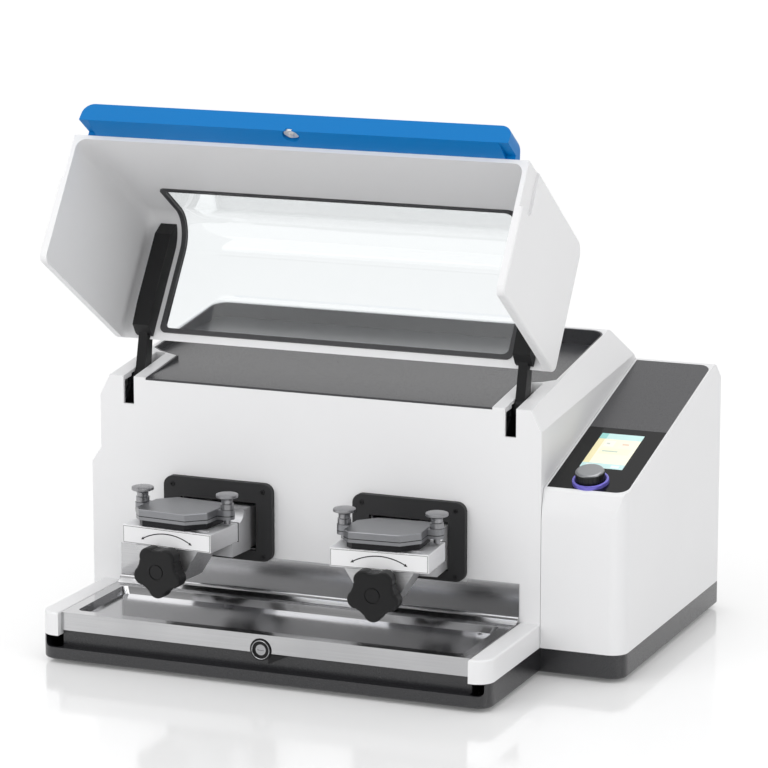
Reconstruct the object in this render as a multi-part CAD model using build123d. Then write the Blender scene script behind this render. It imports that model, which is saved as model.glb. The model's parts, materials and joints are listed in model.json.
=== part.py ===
from build123d import *
import os
from math import atan2, cos, radians, sin, tan

# Bench mixer mill with a swing-up safety lid, two clamping stations and a control column.
# Everything is drawn in millimetres with x = 0 on the middle of the drip tray, y = 0 at its front edge
# and z = 0 on the bench. The finished pieces are shifted so that the origin is the middle of the footprint.
# The lid is drawn closed and then swung open.

# running fit, loose fit, and how far a cut runs past the face it starts from
RUN = 0.05
LOOSE = 0.3
PAST = 1.0

# housing
DEPTH = 554.0
BODY_HALF = 288.8
WING = 12.7
WING_TOP = 211.0
WING_SLOPE_H = 18.0
COLUMN_GAP = 0.6
COLUMN_W = 103.1
FRONT_Y = 171.5
WALL = 4.0
WALL_TOP = 321.5
FLANGE = 6.0
RIM_ANGLE = 8.03
RIM_R = 8.0
RIM_INSET = 79.0
RIM_Y = DEPTH - RIM_INSET
SHOULDER_Y = DEPTH - 9.0
SHOULDER_Z = 296.0
BACK_TOP = 280.0
BACK_R = 14.0
CHAMFER_W = 13.0
CHAMFER_H = 25.5
CHAMFER_END_Y = DEPTH - 39.0
CHAMFER_END_Z = 327.5

# plinth and feet
FOOT_H = 5.0
FOOT_R = 17.0
FOOT_EDGE = 45.0
PLINTH_TOP = 34.5
PLINTH_R = 20.0
PLINTH_REAR_R = 7.0
PLINTH_EDGE_R = 3.0
PLINTH_FLOOR = 4.0
CHANNEL_Z = 20.0
CHANNEL_DEPTH = 14.0
CHANNEL_END = 7.0
CHANNEL_R = 6.0
SILL_Z = 40.4
SILL_DEPTH = 36.0
RIB_SIDE = 60.0
RIB_REAR = 20.0
CHASSIS_T = 8.0

# drip tray between the cheeks
CHEEK_W = 25.5
CHEEK_TOP = 63.0
CHEEK_R = 2.5
TRAY_GAP = 0.5
TRAY_FRONT = 8.0
TRAY_TOP = 62.5
TRAY_T = 1.5
TRAY_RIM = 14.0
TRAY_SINK = 8.0
TRAY_DRAFT = 5.0
TRAY_R = 8.0
TRAY_BACK_Y = FRONT_Y - 11.5
BEAD_Z = 67.0
BEAD_R = 3.5
BEAD_RUN = 4.0
SPLASH_TOP = 110.3
DRAIN_R = 3.0
DRAIN_SIDE = 36.0
DRAIN_REAR = 25.0

# dark roof panel
PANEL_ANGLE = 4.375
PANEL_T = 3.0
PANEL_GAP = 0.3
PANEL_R = 20.0
PANEL_LIP = 2.0
PANEL_LIP_DROP = 0.5
PANEL_FRONT_IN = 62.0
PANEL_FRONT_HALF = BODY_HALF - PANEL_FRONT_IN
PANEL_STEP = 86.5
PANEL_STEP_Y = FRONT_Y + PANEL_STEP
PANEL_HALF = BODY_HALF - 21.1
PANEL_FULL_Y = PANEL_STEP_Y + 22.0
PANEL_REAR_Y = RIM_Y - 7.0
ROOF_T = 3.0

# control column
COLUMN_R = 20.0
COLUMN_NOSE_R = 6.0
COLUMN_FACE_R = 60.0
COLUMN_CREST_R = 14.0
COLUMN_FACE_TOP = 198.0
COLUMN_NOSE = (FRONT_Y + 7.5, 228.0)
COLUMN_CREST = (DEPTH - 31.0, 322.0)
COLUMN_BACK = (DEPTH, 294.0)
COLUMN_WALL = 3.0
COLUMN_FLANGE = 5.0
FASCIA_RIM = 2.5
FASCIA_T = 2.0
FASCIA_R = 15.0
FASCIA_START = 4.0
FASCIA_REAR = 206.0
FASCIA_END = DEPTH - FASCIA_REAR
GLASS_END = 162.0
SCREEN_W = 53.5
SCREEN_L = 88.0
SCREEN_S = 104.0
SCREEN_SIDE = -1.0
SCREEN_T = 0.6

# push dial and its lit ring
DIAL_S = 24.4
DIAL_SIDE = 50.1
DIAL_R = 17.5
DIAL_H = 15.0
DIAL_SOFT_R = 3.5
DIAL_BORE = 8.0
DIAL_FLUTES = 18
FLUTE_R = 1.6
FLUTE_OUT = 1.2
RING_R = 22.0
RING_H = 5.0
RING_SOFT_R = 1.7
RING_GAP = 0.8
STEM_R = 3.0
STEM_LOW = -14.0
PUSH_TRAVEL = 1.0

# lid
HINGE_Y = FRONT_Y + 38.5
HINGE_Z = 314.5
LID_OPEN = 124.0
LID_BOTTOM = 65.0
LID_TOP = 300.0
LID_REAR = FRONT_Y - 1.0
LID_FRONT_LOW = 4.5
LID_FRONT_HIGH = 2.0
LID_OVERHANG = 5.7
LID_LEAN = 7.0
LID_HALF_LOW = BODY_HALF + LID_OVERHANG
LID_HALF_HIGH = LID_HALF_LOW - LID_LEAN
LID_SKIN = 5.0
LID_CHEEK_T = 10.0
LID_NOSE_R = 18.0
LID_BEND_R = 45.0
LID_EDGE_R = 3.0
LID_INSIDE_R = 12.0
LID_REAR_R = 12.0
LID_FOOT_R = 10.0
GRIP_END = 62.0
GRIP_H = 32.0
GRIP_DEPTH = 4.5
GRIP_R = 8.0

# window
WINDOW_SIDE = 55.5
WINDOW_HALF = LID_HALF_HIGH - WINDOW_SIDE
WINDOW_LOW = 196.0
WINDOW_REAR = LID_REAR - 12.5
WINDOW_R = 8.0
GASKET = 6.0
GASKET_T = 7.0
PANE_T = 3.0

# handle strip on the lid's lower front edge
STRIP_HALF = LID_HALF_LOW - 22.0
STRIP_INNER_HALF = STRIP_HALF - 11.5
STRIP_LOW = 34.0
STRIP_TOP = 84.0
STRIP_HEEL = 5.5
STRIP_DEPTH = 24.0
STRIP_KEEL = 5.0
STRIP_LEAN = 7.0
STRIP_SLOPE = 12.0
STRIP_R = 14.0
STRIP_LAP = 0.5
STRIKER_Z = 44.0
STRIKER_R = 10.5
STRIKER_DEEP = 4.0
STRIKER_T = 2.4
STRIKER_STUD = 3.0

# lid hinges
ARM_X = LID_HALF_HIGH - 37.7
ARM_T = 12.0
ARM_COVER_T = 22.0
ARM_COVER_BACK = 6.5
ARM_FRONT = 12.0
ARM_DEPTH = 23.0
ARM_BEND = 40.0
HUB_R = 12.0
PIN_R = 4.0
SLOT_W = 14.0
SLOT_REAR = HINGE_Y + 54.0
SLOT_FLOOR = 287.0
BRACKET_T = 5.0
BRACKET_ROOM = 7.5
BRACKET_GAP = 2.0
BRACKET_TOP = 320.5
BRACKET_HALF = 15.0
BRACKET_FOOT = 262.0
BRACKET_RISE = 14.0
BRACKET_REAR = 24.0
BRACKET_FOOT_L = 30.0

# clamping stations
STATION = 125.5
DRIVE_X = -1.8
PIVOT_Y = FRONT_Y + 18.5
SWING = 4.5
POST_R = 7.0
POST_COLLAR = 6.0
PLATE_W = 145.0
PLATE_Z = (106.5, 203.5)
PLATE_T = 8.0
PLATE_R = 12.0
PORT_HALF = 51.0
PORT_Z = (119.0, 179.0)
SCREW_R = 3.0
SCREW_HEAD = 1.2
SCREW_LOW = 6.0
SCREW_HIGH = 10.0
JAW_HALF = 48.0
JAW_Z = (122.0, 160.0)
JAW_TOP = 175.5
JAW_FRONT = -72.0
UPSTAND_Y = (-42.0, -27.0)
NECK_HALF = 44.0
NECK_REAR = 22.0
NECK_DROP = 3.0
BAR_HALF = 60.75
BAR_Y = (-146.5, -79.5)
BAR_Z = (145.0, 168.0)
BAR_EDGE = 1.2
BAR_BORE = 16.0
CLAMP_SPARE = 2.0
GUIDE_X = 38.0
GUIDE_R = 5.0
POCKET_X = (26.75, 50.75)
POCKET_Y = (3.0, 15.0)
POCKET_T = 2.0
SPINDLE_Z = 121.0
SPINDLE_R = 6.0
COLLAR_T = 3.0
COLLAR_Y = (6.3, 11.0)
NUT_R = 11.0
NUT_L = 16.0
KNOB_R = 32.5
KNOB_T = 17.0
KNOB_GAP = 1.5
KNOB_NECK = 7.0
KNOB_NECK_R = 10.0
KNOB_LOBES = 5
KNOB_LOBE_R = 11.5
KNOB_VALLEY = 6.5
KNOB_VALLEY_R = 16.0
KNOB_SOFT_R = 3.0
KNOB_CAP_R = 9.5
KNOB_GROOVE = 1.2
TROUGH_T = 3.0
TROUGH_FRONT_T = 6.0
TROUGH_LOW = 104.0
TROUGH_W = (85.0, 34.0)
TROUGH_REAR = 20.0

# grinding jar
JAR_SIZE = (92.0, 76.0)
JAR_Y = -110.0
JAR_CHAMFER = (20.0, 9.0)
JAR_BASE_IN = 3.0
JAR_BASE_H = 8.0
JAR_FLANGE_H = 6.0
JAR_LID_H = 7.0
JAR_LID_EDGE = 0.8
JAR_CHAMBER_R = 29.0
JAR_CHAMBER_H = 10.0
JAR_SPIGOT = 2.0
EAR_X = 55.0
EAR_W = 18.0
EAR_H = 6.0
EAR_ROOT = 6.0
EAR_SHIFT = (2.0, 14.0)
THUMB_R = 13.5
THUMB_CAP = 6.0
THUMB_EDGE = 1.5
THUMB_STEM_R = 8.0
THUMB_H = 15.0
THREAD_R = 4.0
THREAD_LOW = 2.0

# crank drive behind the stations
LEVER = 95.0
LEVER_Z = (124.0, 136.0)
LEVER_ROOT_R = 26.0
LEVER_ROOT_Y = 8.0
LEVER_END = 7.0
ROD_Z = (140.0, 156.0)
ROD_T = 12.0
ROD_PIN_R = 8.0
ROD_EYE = 8.0
ROD_BIG_END = 9.0
ROD_CLEAR = 1.2
ECCENTRIC_R = 16.0
CRANK_R = 10.0
FLYWHEEL_R = 34.0
FLYWHEEL_LOW = 8.0
FLYWHEEL_HIGH = 14.0
PULLEY_Z = (95.0, 119.0)
PULLEY_R = 70.0
PULLEY_EDGE = 3.0
GROOVE = 2.0
SPOKE_HOLES = 6
SPOKE_R = 13.0
SPOKE_AT = 42.0
BELT_T = 5.0
BELT_GAP = 0.3
BELT_RIBS = 5
MOTOR_PULLEY_R = 25.0
MOTOR_SIDE = 142.7
MOTOR_REAR = 124.0
MOTOR = (MOTOR_SIDE, DEPTH - MOTOR_REAR)
MOTOR_R = 55.0
MOTOR_ROOM = 3.0
MOTOR_Z = (128.0, 228.0)
MOTOR_SHAFT = 30.0
MOTOR_FINS = 16
FIN_GAP = 6.0
FIN_DEPTH = 4.0
FIN_ENDS = (12.0, 8.0)
MOTOR_STUDS = 4
STUD_R = 5.0
STUD_IN = 6.0
FRAME_LOW = (52.0, 64.0)
FRAME_HIGH = (236.0, 248.0)
BEARING_T = 12.0
FRAME_WIDER = 40.0
FRAME_LONGER = 60.0
FRAME_END = 45.0
FRAME_LEG_R = 14.0
FRAME_LEG_IN = 20.0
FRAME_STAY = 12.0
FRAME_STAY_L = 40.0

# lock in the tray's front edge
LOCK_Z = 44.0
LOCK_R = 13.0
LOCK_RECESS = 1.0
LOCK_RIM = 3.0
LOCK_DISH = 1.2
LOCK_BACK = 2.0
LOCK_TAIL = 22.0
LOCK_TAIL_H = 12.0
PLUNGER_R = 6.5
PLUNGER_TRAVEL = 2.0
PLUNGER_SINK = 0.6
SLOT_HALF = 4.0
SLOT_HIGH = 0.8

# control board behind the display
BOARD_Y = 60.0
BOARD_T = 2.0
BOARD_SIDE = 14.0
BOARD_Z = (12.0, 150.0)
BOARD_FOOT = (8.0, 14.0, 20.0)
CHIPS = 3
CHIP = (12.0, 8.0, 16.0)
CHIP_START = (24.0, 35.5)
CHIP_STEP = (18.0, 26.0)

# rear panel with vents, fan, inlet and switch
REAR_HALF = 205.0
REAR_Z = (70.0, 236.0)
REAR_LAP = 8.0
REAR_T = 2.0
VENT_X = -110.0
VENT_W = 4.0
VENT_H = 60.0
VENT_PITCH = 10.0
VENTS = 12
FAN_X = 120.0
FAN_Z = 160.0
FAN_R = 46.0
FAN_T = 25.0
FAN_WALL = 4.0
FAN_HUB_R = 16.0
FAN_AXLE_R = 3.0
FAN_BLADES = 7
FAN_TIP = 2.0
FAN_STRUT = 3.0
BLADE_T = 1.6
BLADE_W = 18.0
BLADE_TURN = 35.0
ROTOR_R = 14.0
ROTOR_GAP = 4.0
GUARD_RINGS = 4
GUARD_PITCH = 10.0
GUARD_GAP = 6.0
GUARD_SPOKE = 3.0
INLET_X = -165.0
INLET_Z = 110.0
INLET_HALF = (14.0, 10.0)
INLET_MOUTH = (11.0, 7.5)
INLET_DEEP = 18.0
INLET_RIM = 3.0
INLET_PINS = ((-7.0, -2.0), (7.0, -2.0), (0.0, 3.0))
SWITCH_Z = 145.0
SWITCH_HALF = (11.0, 7.0)
SWITCH_WALL = 1.2
SWITCH_DEEP = 14.0
SWITCH_FRAME_T = 2.0
ROCKER_HALF = (9.2, 4.2)
ROCKER_DEEP = 8.0
ROCKER_PIN_R = 1.2
ROCKER_PIN_BACK = 3.0

COLUMN_LEFT = BODY_HALF + COLUMN_GAP
COLUMN_RIGHT = COLUMN_LEFT + COLUMN_W
COLUMN_MID = (COLUMN_LEFT + COLUMN_RIGHT) / 2
LEFT_EDGE = -BODY_HALF - WING
MIDDLE = (LEFT_EDGE + COLUMN_RIGHT) / 2
SHIFT = Pos(-MIDDLE, -DEPTH / 2, 0)
RIM_Z = WALL_TOP + (RIM_Y - FRONT_Y) * tan(radians(RIM_ANGLE))
CHEEK_INNER = BODY_HALF - CHEEK_W
TRAY_HALF = CHEEK_INNER - TRAY_GAP
THROW = LEVER * sin(radians(SWING))
CRANK_Y = PIVOT_Y + LEVER * cos(radians(SWING))
STATIONS = {"left": (DRIVE_X - STATION, -SWING), "right": (DRIVE_X + STATION, SWING)}
SIDES = (1, -1)

os.makedirs("parts", exist_ok=True)


def save(node, *pieces):
    solids = [solid for piece in pieces for solid in (SHIFT * piece).solids()]
    shape = solids[0] if len(solids) == 1 else Compound(children=solids)
    shape.label = node
    export_step(shape, f"parts/{node}.step")


def box(x0, x1, y0, y1, z0, z1):
    return Pos((x0 + x1) / 2, (y0 + y1) / 2, (z0 + z1) / 2) * Box(x1 - x0, y1 - y0, z1 - z0)


def along_x(sketch, x0, x1):
    return extrude(Plane.YZ.offset(x0) * sketch, x1 - x0, dir=(1, 0, 0))


def along_y(sketch, y0, y1):
    return extrude(Plane.XZ.offset(-y0) * sketch, y1 - y0, dir=(0, 1, 0))


def along_z(sketch, z0, z1):
    return extrude(Plane.XY.offset(z0) * sketch, z1 - z0, dir=(0, 0, 1))


def rod_x(x0, x1, y, z, r):
    return Pos((x0 + x1) / 2, y, z) * Rot(0, 90, 0) * Cylinder(r, x1 - x0)


def rod_y(x, y0, y1, z, r):
    return Pos(x, (y0 + y1) / 2, z) * Rot(90, 0, 0) * Cylinder(r, y1 - y0)


def rod_z(x, y, z0, z1, r):
    return Pos(x, y, (z0 + z1) / 2) * Cylinder(r, z1 - z0)


def polygon(*points):
    return Polygon(*points, align=None)


def soften(profile, corner, r):
    near = profile.vertices().sort_by_distance(Vector(*corner))[0]
    return fillet(near, r)


def tilted_cut(block, plane_y, plane_z, angle, keep):
    cut = Plane(origin=(0, plane_y, plane_z), x_dir=(1, 0, 0),
                z_dir=(0, -sin(radians(angle)), cos(radians(angle))))
    return split(block, bisect_by=cut, keep=keep)


# plinth: a dark pan with a finger channel under the tray's edge
def plinth_outline(inset):
    front = Pos(0, FRONT_Y / 2 + PLINTH_R) * RectangleRounded(
        2 * (BODY_HALF - inset), FRONT_Y + 2 * (PLINTH_R - inset), PLINTH_R - inset)
    rear = Pos(MIDDLE, (FRONT_Y + DEPTH) / 2) * Rectangle(
        COLUMN_RIGHT - LEFT_EDGE - 2 * inset, DEPTH - FRONT_Y - 2 * inset)
    for corner, r in (((COLUMN_RIGHT, FRONT_Y), PLINTH_R), ((LEFT_EDGE, FRONT_Y), PLINTH_REAR_R),
                      ((COLUMN_RIGHT, DEPTH), PLINTH_REAR_R), ((LEFT_EDGE, DEPTH), PLINTH_REAR_R)):
        rear = soften(rear, corner, r - inset)
    return front + rear


def base_plinth():
    pan = along_z(plinth_outline(0), FOOT_H, PLINTH_TOP)
    pan -= along_z(plinth_outline(WALL), FOOT_H + PLINTH_FLOOR, PLINTH_TOP)
    pan += box(-CHEEK_INNER, CHEEK_INNER, WALL, SILL_DEPTH, FOOT_H, SILL_Z)
    pan = fillet(pan.faces().sort_by(Axis.Z)[0].outer_wire().edges(), PLINTH_EDGE_R)
    tall = 2 * SILL_Z
    channel = RectangleRounded(2 * (BODY_HALF - CHANNEL_END), tall, CHANNEL_R)
    pan -= along_y(Pos(0, CHANNEL_Z + tall / 2) * channel, -PAST, CHANNEL_DEPTH)
    rib_top = TRAY_TOP - TRAY_SINK - TRAY_T
    for x in (RIB_SIDE - CHEEK_INNER, 0, CHEEK_INNER - RIB_SIDE):
        pan += box(x - WALL, x + WALL, SILL_DEPTH - PAST, FRONT_Y - RIB_REAR, FOOT_H, rib_top)
    for x in (LEFT_EDGE + FOOT_EDGE, 0, COLUMN_RIGHT - FOOT_EDGE):
        for y in (FRONT_Y + FOOT_EDGE, DEPTH - FOOT_EDGE):
            pan += rod_z(x, y, FOOT_H, PLINTH_TOP - CHASSIS_T, FOOT_R)
    return pan


foot_places = [(FOOT_EDGE - BODY_HALF, FOOT_EDGE), (BODY_HALF - FOOT_EDGE, FOOT_EDGE),
               (LEFT_EDGE + FOOT_EDGE, DEPTH - FOOT_EDGE), (COLUMN_RIGHT - FOOT_EDGE, DEPTH - FOOT_EDGE),
               (COLUMN_RIGHT - FOOT_EDGE, FRONT_Y + FOOT_EDGE)]
save("base_plinth", base_plinth())
save("rubber_feet", *[rod_z(x, y, 0, FOOT_H, FOOT_R) for x, y in foot_places])
chassis = Rectangle(COLUMN_RIGHT - LEFT_EDGE - 2 * PLINTH_R, DEPTH - FRONT_Y - 2 * PLINTH_R)
chassis = Pos(MIDDLE, (FRONT_Y + DEPTH) / 2) * chassis
save("chassis_plate", along_z(chassis, PLINTH_TOP - CHASSIS_T, PLINTH_TOP))


# main housing: a shell with a stepped left side, chamfered shoulders and a sunk roof
def shoulder_cut(block, inset):
    for side in SIDES:
        low = Vector(side * BODY_HALF, FRONT_Y, WALL_TOP - CHAMFER_H)
        back = Vector(side * BODY_HALF, CHAMFER_END_Y, CHAMFER_END_Z)
        high = Vector(side * (BODY_HALF - CHAMFER_W), FRONT_Y, WALL_TOP)
        normal = (back - low).cross(high - low).normalized()
        if normal.Z < 0:
            normal = normal * -1
        block = split(block, bisect_by=Plane(origin=low - normal * inset, z_dir=normal), keep=Keep.BOTTOM)
    return block


def housing_block(inset):
    profile = polygon((FRONT_Y, PLINTH_TOP), (FRONT_Y, WALL_TOP), (RIM_Y, RIM_Z), (SHOULDER_Y, SHOULDER_Z),
                      (DEPTH, BACK_TOP), (DEPTH, PLINTH_TOP))
    if inset:
        profile = offset(profile, -inset, kind=Kind.INTERSECTION)
    profile = soften(profile, (RIM_Y, RIM_Z), RIM_R - inset)
    profile = soften(profile, (SHOULDER_Y, SHOULDER_Z), BACK_R - inset)
    half = BODY_HALF - inset
    block = shoulder_cut(along_x(profile, -half, half), inset)
    slope_top = WING_TOP + WING_SLOPE_H
    wing = polygon((-half - WING, PLINTH_TOP + inset), (-half - WING, WING_TOP), (-half, slope_top),
                   (WALL - half, slope_top), (WALL - half, PLINTH_TOP + inset))
    return block + along_y(wing, FRONT_Y + inset, DEPTH - inset)


def panel_outline(gap):
    half = PANEL_HALF - gap
    front_half = PANEL_FRONT_HALF - gap
    step = PANEL_STEP_Y + gap
    knee = ((front_half + 2 * half) / 3, (step + PANEL_FULL_Y + gap) / 2)
    right = [(front_half, FRONT_Y + gap), (front_half, step), knee, (half, PANEL_FULL_Y + gap),
             (half, PANEL_REAR_Y - gap)]
    outline = polygon(*right, *[(-x, y) for x, y in reversed(right)])
    corners = outline.vertices().sort_by(Axis.Y)[-2:]
    return fillet(corners, PANEL_R - gap)


def above_panel(sink, gap):
    block = along_z(panel_outline(gap), WALL_TOP - WING_TOP / 4, RIM_Z + FLANGE)
    return tilted_cut(block, FRONT_Y, WALL_TOP - sink, PANEL_ANGLE, Keep.TOP)


def cheek(side):
    inner, outer = sorted((side * CHEEK_INNER, side * BODY_HALF))
    block = box(inner, outer, 0, FRONT_Y + WALL, PLINTH_TOP, CHEEK_TOP)
    corner = block.edges().filter_by(Axis.Z).group_by(Axis.Y)[0].sort_by(Axis.X)[-1 if side > 0 else 0]
    block = fillet(corner, PLINTH_R)
    return fillet(block.faces().sort_by(Axis.Z)[-1].edges(), CHEEK_R)


def main_housing():
    cavity = tilted_cut(housing_block(WALL), FRONT_Y, WALL_TOP - PANEL_T - ROOF_T, PANEL_ANGLE, Keep.BOTTOM)
    shell = housing_block(0) + cheek(1) + cheek(-1) - cavity
    lip = WALL + FLANGE
    shell -= box(lip - BODY_HALF, BODY_HALF - lip, FRONT_Y + lip, DEPTH - lip,
                 PLINTH_TOP - PAST, PLINTH_TOP + lip)
    shell -= above_panel(PANEL_T, 0)
    room = ARM_T / 2 + BRACKET_GAP + BRACKET_ROOM + PAST
    room_y = BRACKET_HALF + PAST
    for side in SIDES:
        slot = side * ARM_X
        shell -= box(slot - SLOT_W / 2, slot + SLOT_W / 2, FRONT_Y - PAST, SLOT_REAR, SLOT_FLOOR, RIM_Z)
        shell -= box(slot - room, slot + room, HINGE_Y - room_y, HINGE_Y + room_y,
                     SLOT_FLOOR, WALL_TOP - LOOSE)
        port = DRIVE_X + side * STATION
        shell -= box(port - PORT_HALF, port + PORT_HALF, FRONT_Y - PAST, FRONT_Y + WALL + PAST, *PORT_Z)
    shell -= box(-REAR_HALF, REAR_HALF, DEPTH - WALL - PAST, DEPTH + PAST, *REAR_Z)
    return shell


save("main_housing", main_housing())
insert = above_panel(PANEL_T, PANEL_GAP) - above_panel(0, PANEL_GAP + PANEL_LIP)
save("top_inset_panel", tilted_cut(insert, FRONT_Y, WALL_TOP - PANEL_LIP_DROP, RIM_ANGLE, Keep.BOTTOM))


# steel drip tray with a rolled bead and a splash plate against the front wall
def basin(grow, z0, z1):
    wide = 2 * (TRAY_HALF - TRAY_RIM + grow)
    long = TRAY_BACK_Y - TRAY_FRONT - 2 * TRAY_RIM + 2 * grow
    place = Pos(0, (TRAY_FRONT + TRAY_BACK_Y) / 2)
    top = RectangleRounded(wide, long, TRAY_R + grow)
    low = RectangleRounded(wide - 2 * TRAY_DRAFT, long - 2 * TRAY_DRAFT, TRAY_R + grow)
    return loft([Plane.XY.offset(z0) * place * low, Plane.XY.offset(z1) * place * top])


def drip_tray():
    floor_z = TRAY_TOP - TRAY_SINK
    sheet = box(-TRAY_HALF, TRAY_HALF, TRAY_FRONT, TRAY_BACK_Y, TRAY_TOP - TRAY_T, TRAY_TOP)
    sheet += box(-TRAY_HALF, TRAY_HALF, TRAY_FRONT, TRAY_FRONT + TRAY_T, SILL_Z, TRAY_TOP)
    sheet += basin(TRAY_T, floor_z - TRAY_T, TRAY_TOP - TRAY_T / 2)
    sheet -= basin(0, floor_z, TRAY_TOP)
    plate_y = FRONT_Y - TRAY_T
    overlap = TRAY_BACK_Y - PAST
    rise = polygon((overlap, TRAY_TOP - TRAY_T), (overlap, TRAY_TOP), (plate_y - BEAD_RUN, BEAD_Z),
                   (FRONT_Y, BEAD_Z), (FRONT_Y, BEAD_Z - BEAD_RUN), (plate_y - BEAD_R, BEAD_Z - 2 * TRAY_T))
    sheet += along_x(rise, -TRAY_HALF, TRAY_HALF)
    bead = rod_x(-TRAY_HALF, TRAY_HALF, plate_y - PAST, BEAD_Z, BEAD_R)
    sheet += bead & box(-TRAY_HALF, TRAY_HALF, TRAY_BACK_Y, FRONT_Y,
                        BEAD_Z - 2 * BEAD_R, BEAD_Z + 2 * BEAD_R)
    sheet += box(-TRAY_HALF, TRAY_HALF, plate_y, FRONT_Y, BEAD_Z - PAST, SPLASH_TOP)
    reach = PLATE_W / 2 + PANEL_GAP
    for port, _ in STATIONS.values():
        sheet -= box(port - reach, port + reach, plate_y - PAST, FRONT_Y + PAST, PLATE_Z[0] - PANEL_GAP,
                     SPLASH_TOP + PAST)
    sheet -= rod_y(0, TRAY_FRONT - PAST, TRAY_FRONT + TRAY_T + PAST, LOCK_Z, LOCK_R + PAST)
    drain_x, drain_y = TRAY_HALF - DRAIN_SIDE, TRAY_BACK_Y - DRAIN_REAR
    sheet -= rod_z(drain_x, drain_y, floor_z - TRAY_T - PAST, floor_z + PAST, DRAIN_R)
    return sheet


save("drip_tray", drip_tray())

# lid lock in the tray's front edge
lock_face = TRAY_FRONT - LOCK_RECESS
tail_x = LOCK_R - 4.0
lock = rod_y(0, lock_face, CHANNEL_DEPTH, LOCK_Z, LOCK_R)
lock -= rod_y(0, lock_face - PAST, lock_face + LOCK_DISH, LOCK_Z, PLUNGER_R + LOCK_RIM)
lock += along_y(polygon((tail_x, SILL_Z - PAST), (LOCK_R + LOCK_TAIL, SILL_Z - PAST),
                        (tail_x, SILL_Z - PAST - LOCK_TAIL_H)), lock_face + LOCK_BACK, CHANNEL_DEPTH)
lock -= rod_y(0, lock_face - PAST, CHANNEL_DEPTH - LOCK_BACK, LOCK_Z, PLUNGER_R + RUN)
save("lock_housing", lock)
plunger_face = lock_face + PLUNGER_SINK
plunger = rod_y(0, plunger_face, CHANNEL_DEPTH - LOCK_BACK - PLUNGER_TRAVEL - LOOSE, LOCK_Z, PLUNGER_R)
plunger -= box(-SLOT_HALF, SLOT_HALF, lock_face, plunger_face + SLOT_HIGH,
               LOCK_Z - SLOT_HIGH, LOCK_Z + SLOT_HIGH)
save("lock_plunger", plunger)

# control column
slope = atan2(COLUMN_CREST[1] - COLUMN_NOSE[1], COLUMN_CREST[0] - COLUMN_NOSE[0])
FASCIA = Plane(origin=(0, *COLUMN_NOSE), x_dir=(1, 0, 0), z_dir=(0, -sin(slope), cos(slope)))


def column_block(inset):
    profile = polygon((FRONT_Y, PLINTH_TOP), (FRONT_Y, COLUMN_FACE_TOP), COLUMN_NOSE, COLUMN_CREST,
                      COLUMN_BACK, (DEPTH, PLINTH_TOP))
    if inset:
        profile = offset(profile, -inset, kind=Kind.INTERSECTION)
    profile = soften(profile, COLUMN_NOSE, COLUMN_NOSE_R)
    profile = soften(profile, (FRONT_Y, COLUMN_FACE_TOP), COLUMN_FACE_R)
    profile = soften(profile, COLUMN_CREST, COLUMN_CREST_R)
    block = along_x(profile, COLUMN_LEFT + inset, COLUMN_RIGHT - inset)
    outline = Rectangle(COLUMN_W - 2 * inset, DEPTH - FRONT_Y - 2 * inset)
    outline = Pos(COLUMN_MID, (FRONT_Y + DEPTH) / 2) * outline
    outline = soften(outline, (COLUMN_RIGHT, FRONT_Y), COLUMN_R - inset)
    outline = soften(outline, (COLUMN_RIGHT, DEPTH), PLINTH_REAR_R - inset)
    return block & along_z(outline, 0, RIM_Z)


def fascia(start, end, gap, depth, rounded):
    width = COLUMN_W - 2 * FASCIA_RIM - 2 * gap
    plate = Pos(COLUMN_MID, (start + end) / 2) * Rectangle(width, end - start - 2 * gap)
    right = plate.vertices().sort_by(Axis.X)[-2:].sort_by(Axis.Y)
    plate = fillet([right[i] for i in rounded], FASCIA_R)
    return extrude(FASCIA * plate, -depth)


def column_housing():
    shell = column_block(0) - column_block(COLUMN_WALL + FASCIA_T)
    shell -= fascia(FASCIA_START, FASCIA_END, 0, FASCIA_T, (0, 1))
    foot = COLUMN_WALL + FASCIA_T + COLUMN_FLANGE
    return shell - box(COLUMN_LEFT + foot, COLUMN_RIGHT - foot, FRONT_Y + foot, DEPTH - foot,
                       PLINTH_TOP - PAST, PLINTH_TOP + foot)


dial_place = FASCIA * Pos(COLUMN_LEFT + DIAL_SIDE, DIAL_S, 0)
dial_hole = dial_place * Cylinder(STEM_R + RUN, DEPTH / 10)
screen = FASCIA * Pos(COLUMN_MID + SCREEN_SIDE, SCREEN_S, -SCREEN_T / 2) * Box(SCREEN_W, SCREEN_L, SCREEN_T)
save("column_housing", column_housing() - dial_hole)
save("column_panel", fascia(GLASS_END, FASCIA_END, PANEL_GAP / 2, FASCIA_T, (1,)))
save("display_glass", fascia(FASCIA_START, GLASS_END, PANEL_GAP / 2, FASCIA_T, (0,)) - screen - dial_hole)
save("display_screen", screen)

# push dial, its stem and the lit ring round it
dial_low = PUSH_TRAVEL + LOOSE
stem_top = dial_low + DIAL_BORE
ring = Pos(0, 0, RING_H / 2) * (Cylinder(RING_R, RING_H) - Cylinder(DIAL_R + RING_GAP, RING_H))
save("encoder_light_ring", dial_place * fillet(ring.edges().group_by(Axis.Z)[-1], RING_SOFT_R))
save("encoder_plunger", dial_place * rod_z(0, 0, STEM_LOW, stem_top, STEM_R))
dial = rod_z(0, 0, dial_low, dial_low + DIAL_H, DIAL_R)
dial = fillet(dial.edges().sort_by(Axis.Z)[-1], DIAL_SOFT_R)
flute = rod_z(DIAL_R + FLUTE_OUT, 0, 0, dial_low + DIAL_H - DIAL_SOFT_R, FLUTE_R)
for i in range(DIAL_FLUTES):
    dial -= Rot(0, 0, i * 360 / DIAL_FLUTES) * flute
save("control_knob", dial_place * (dial - rod_z(0, 0, 0, stem_top + LOOSE, STEM_R + RUN)))

# lid, drawn closed
SWING_OPEN = Pos(0, HINGE_Y, HINGE_Z) * Rot(-LID_OPEN, 0, 0) * Pos(0, -HINGE_Y, -HINGE_Z)


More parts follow.
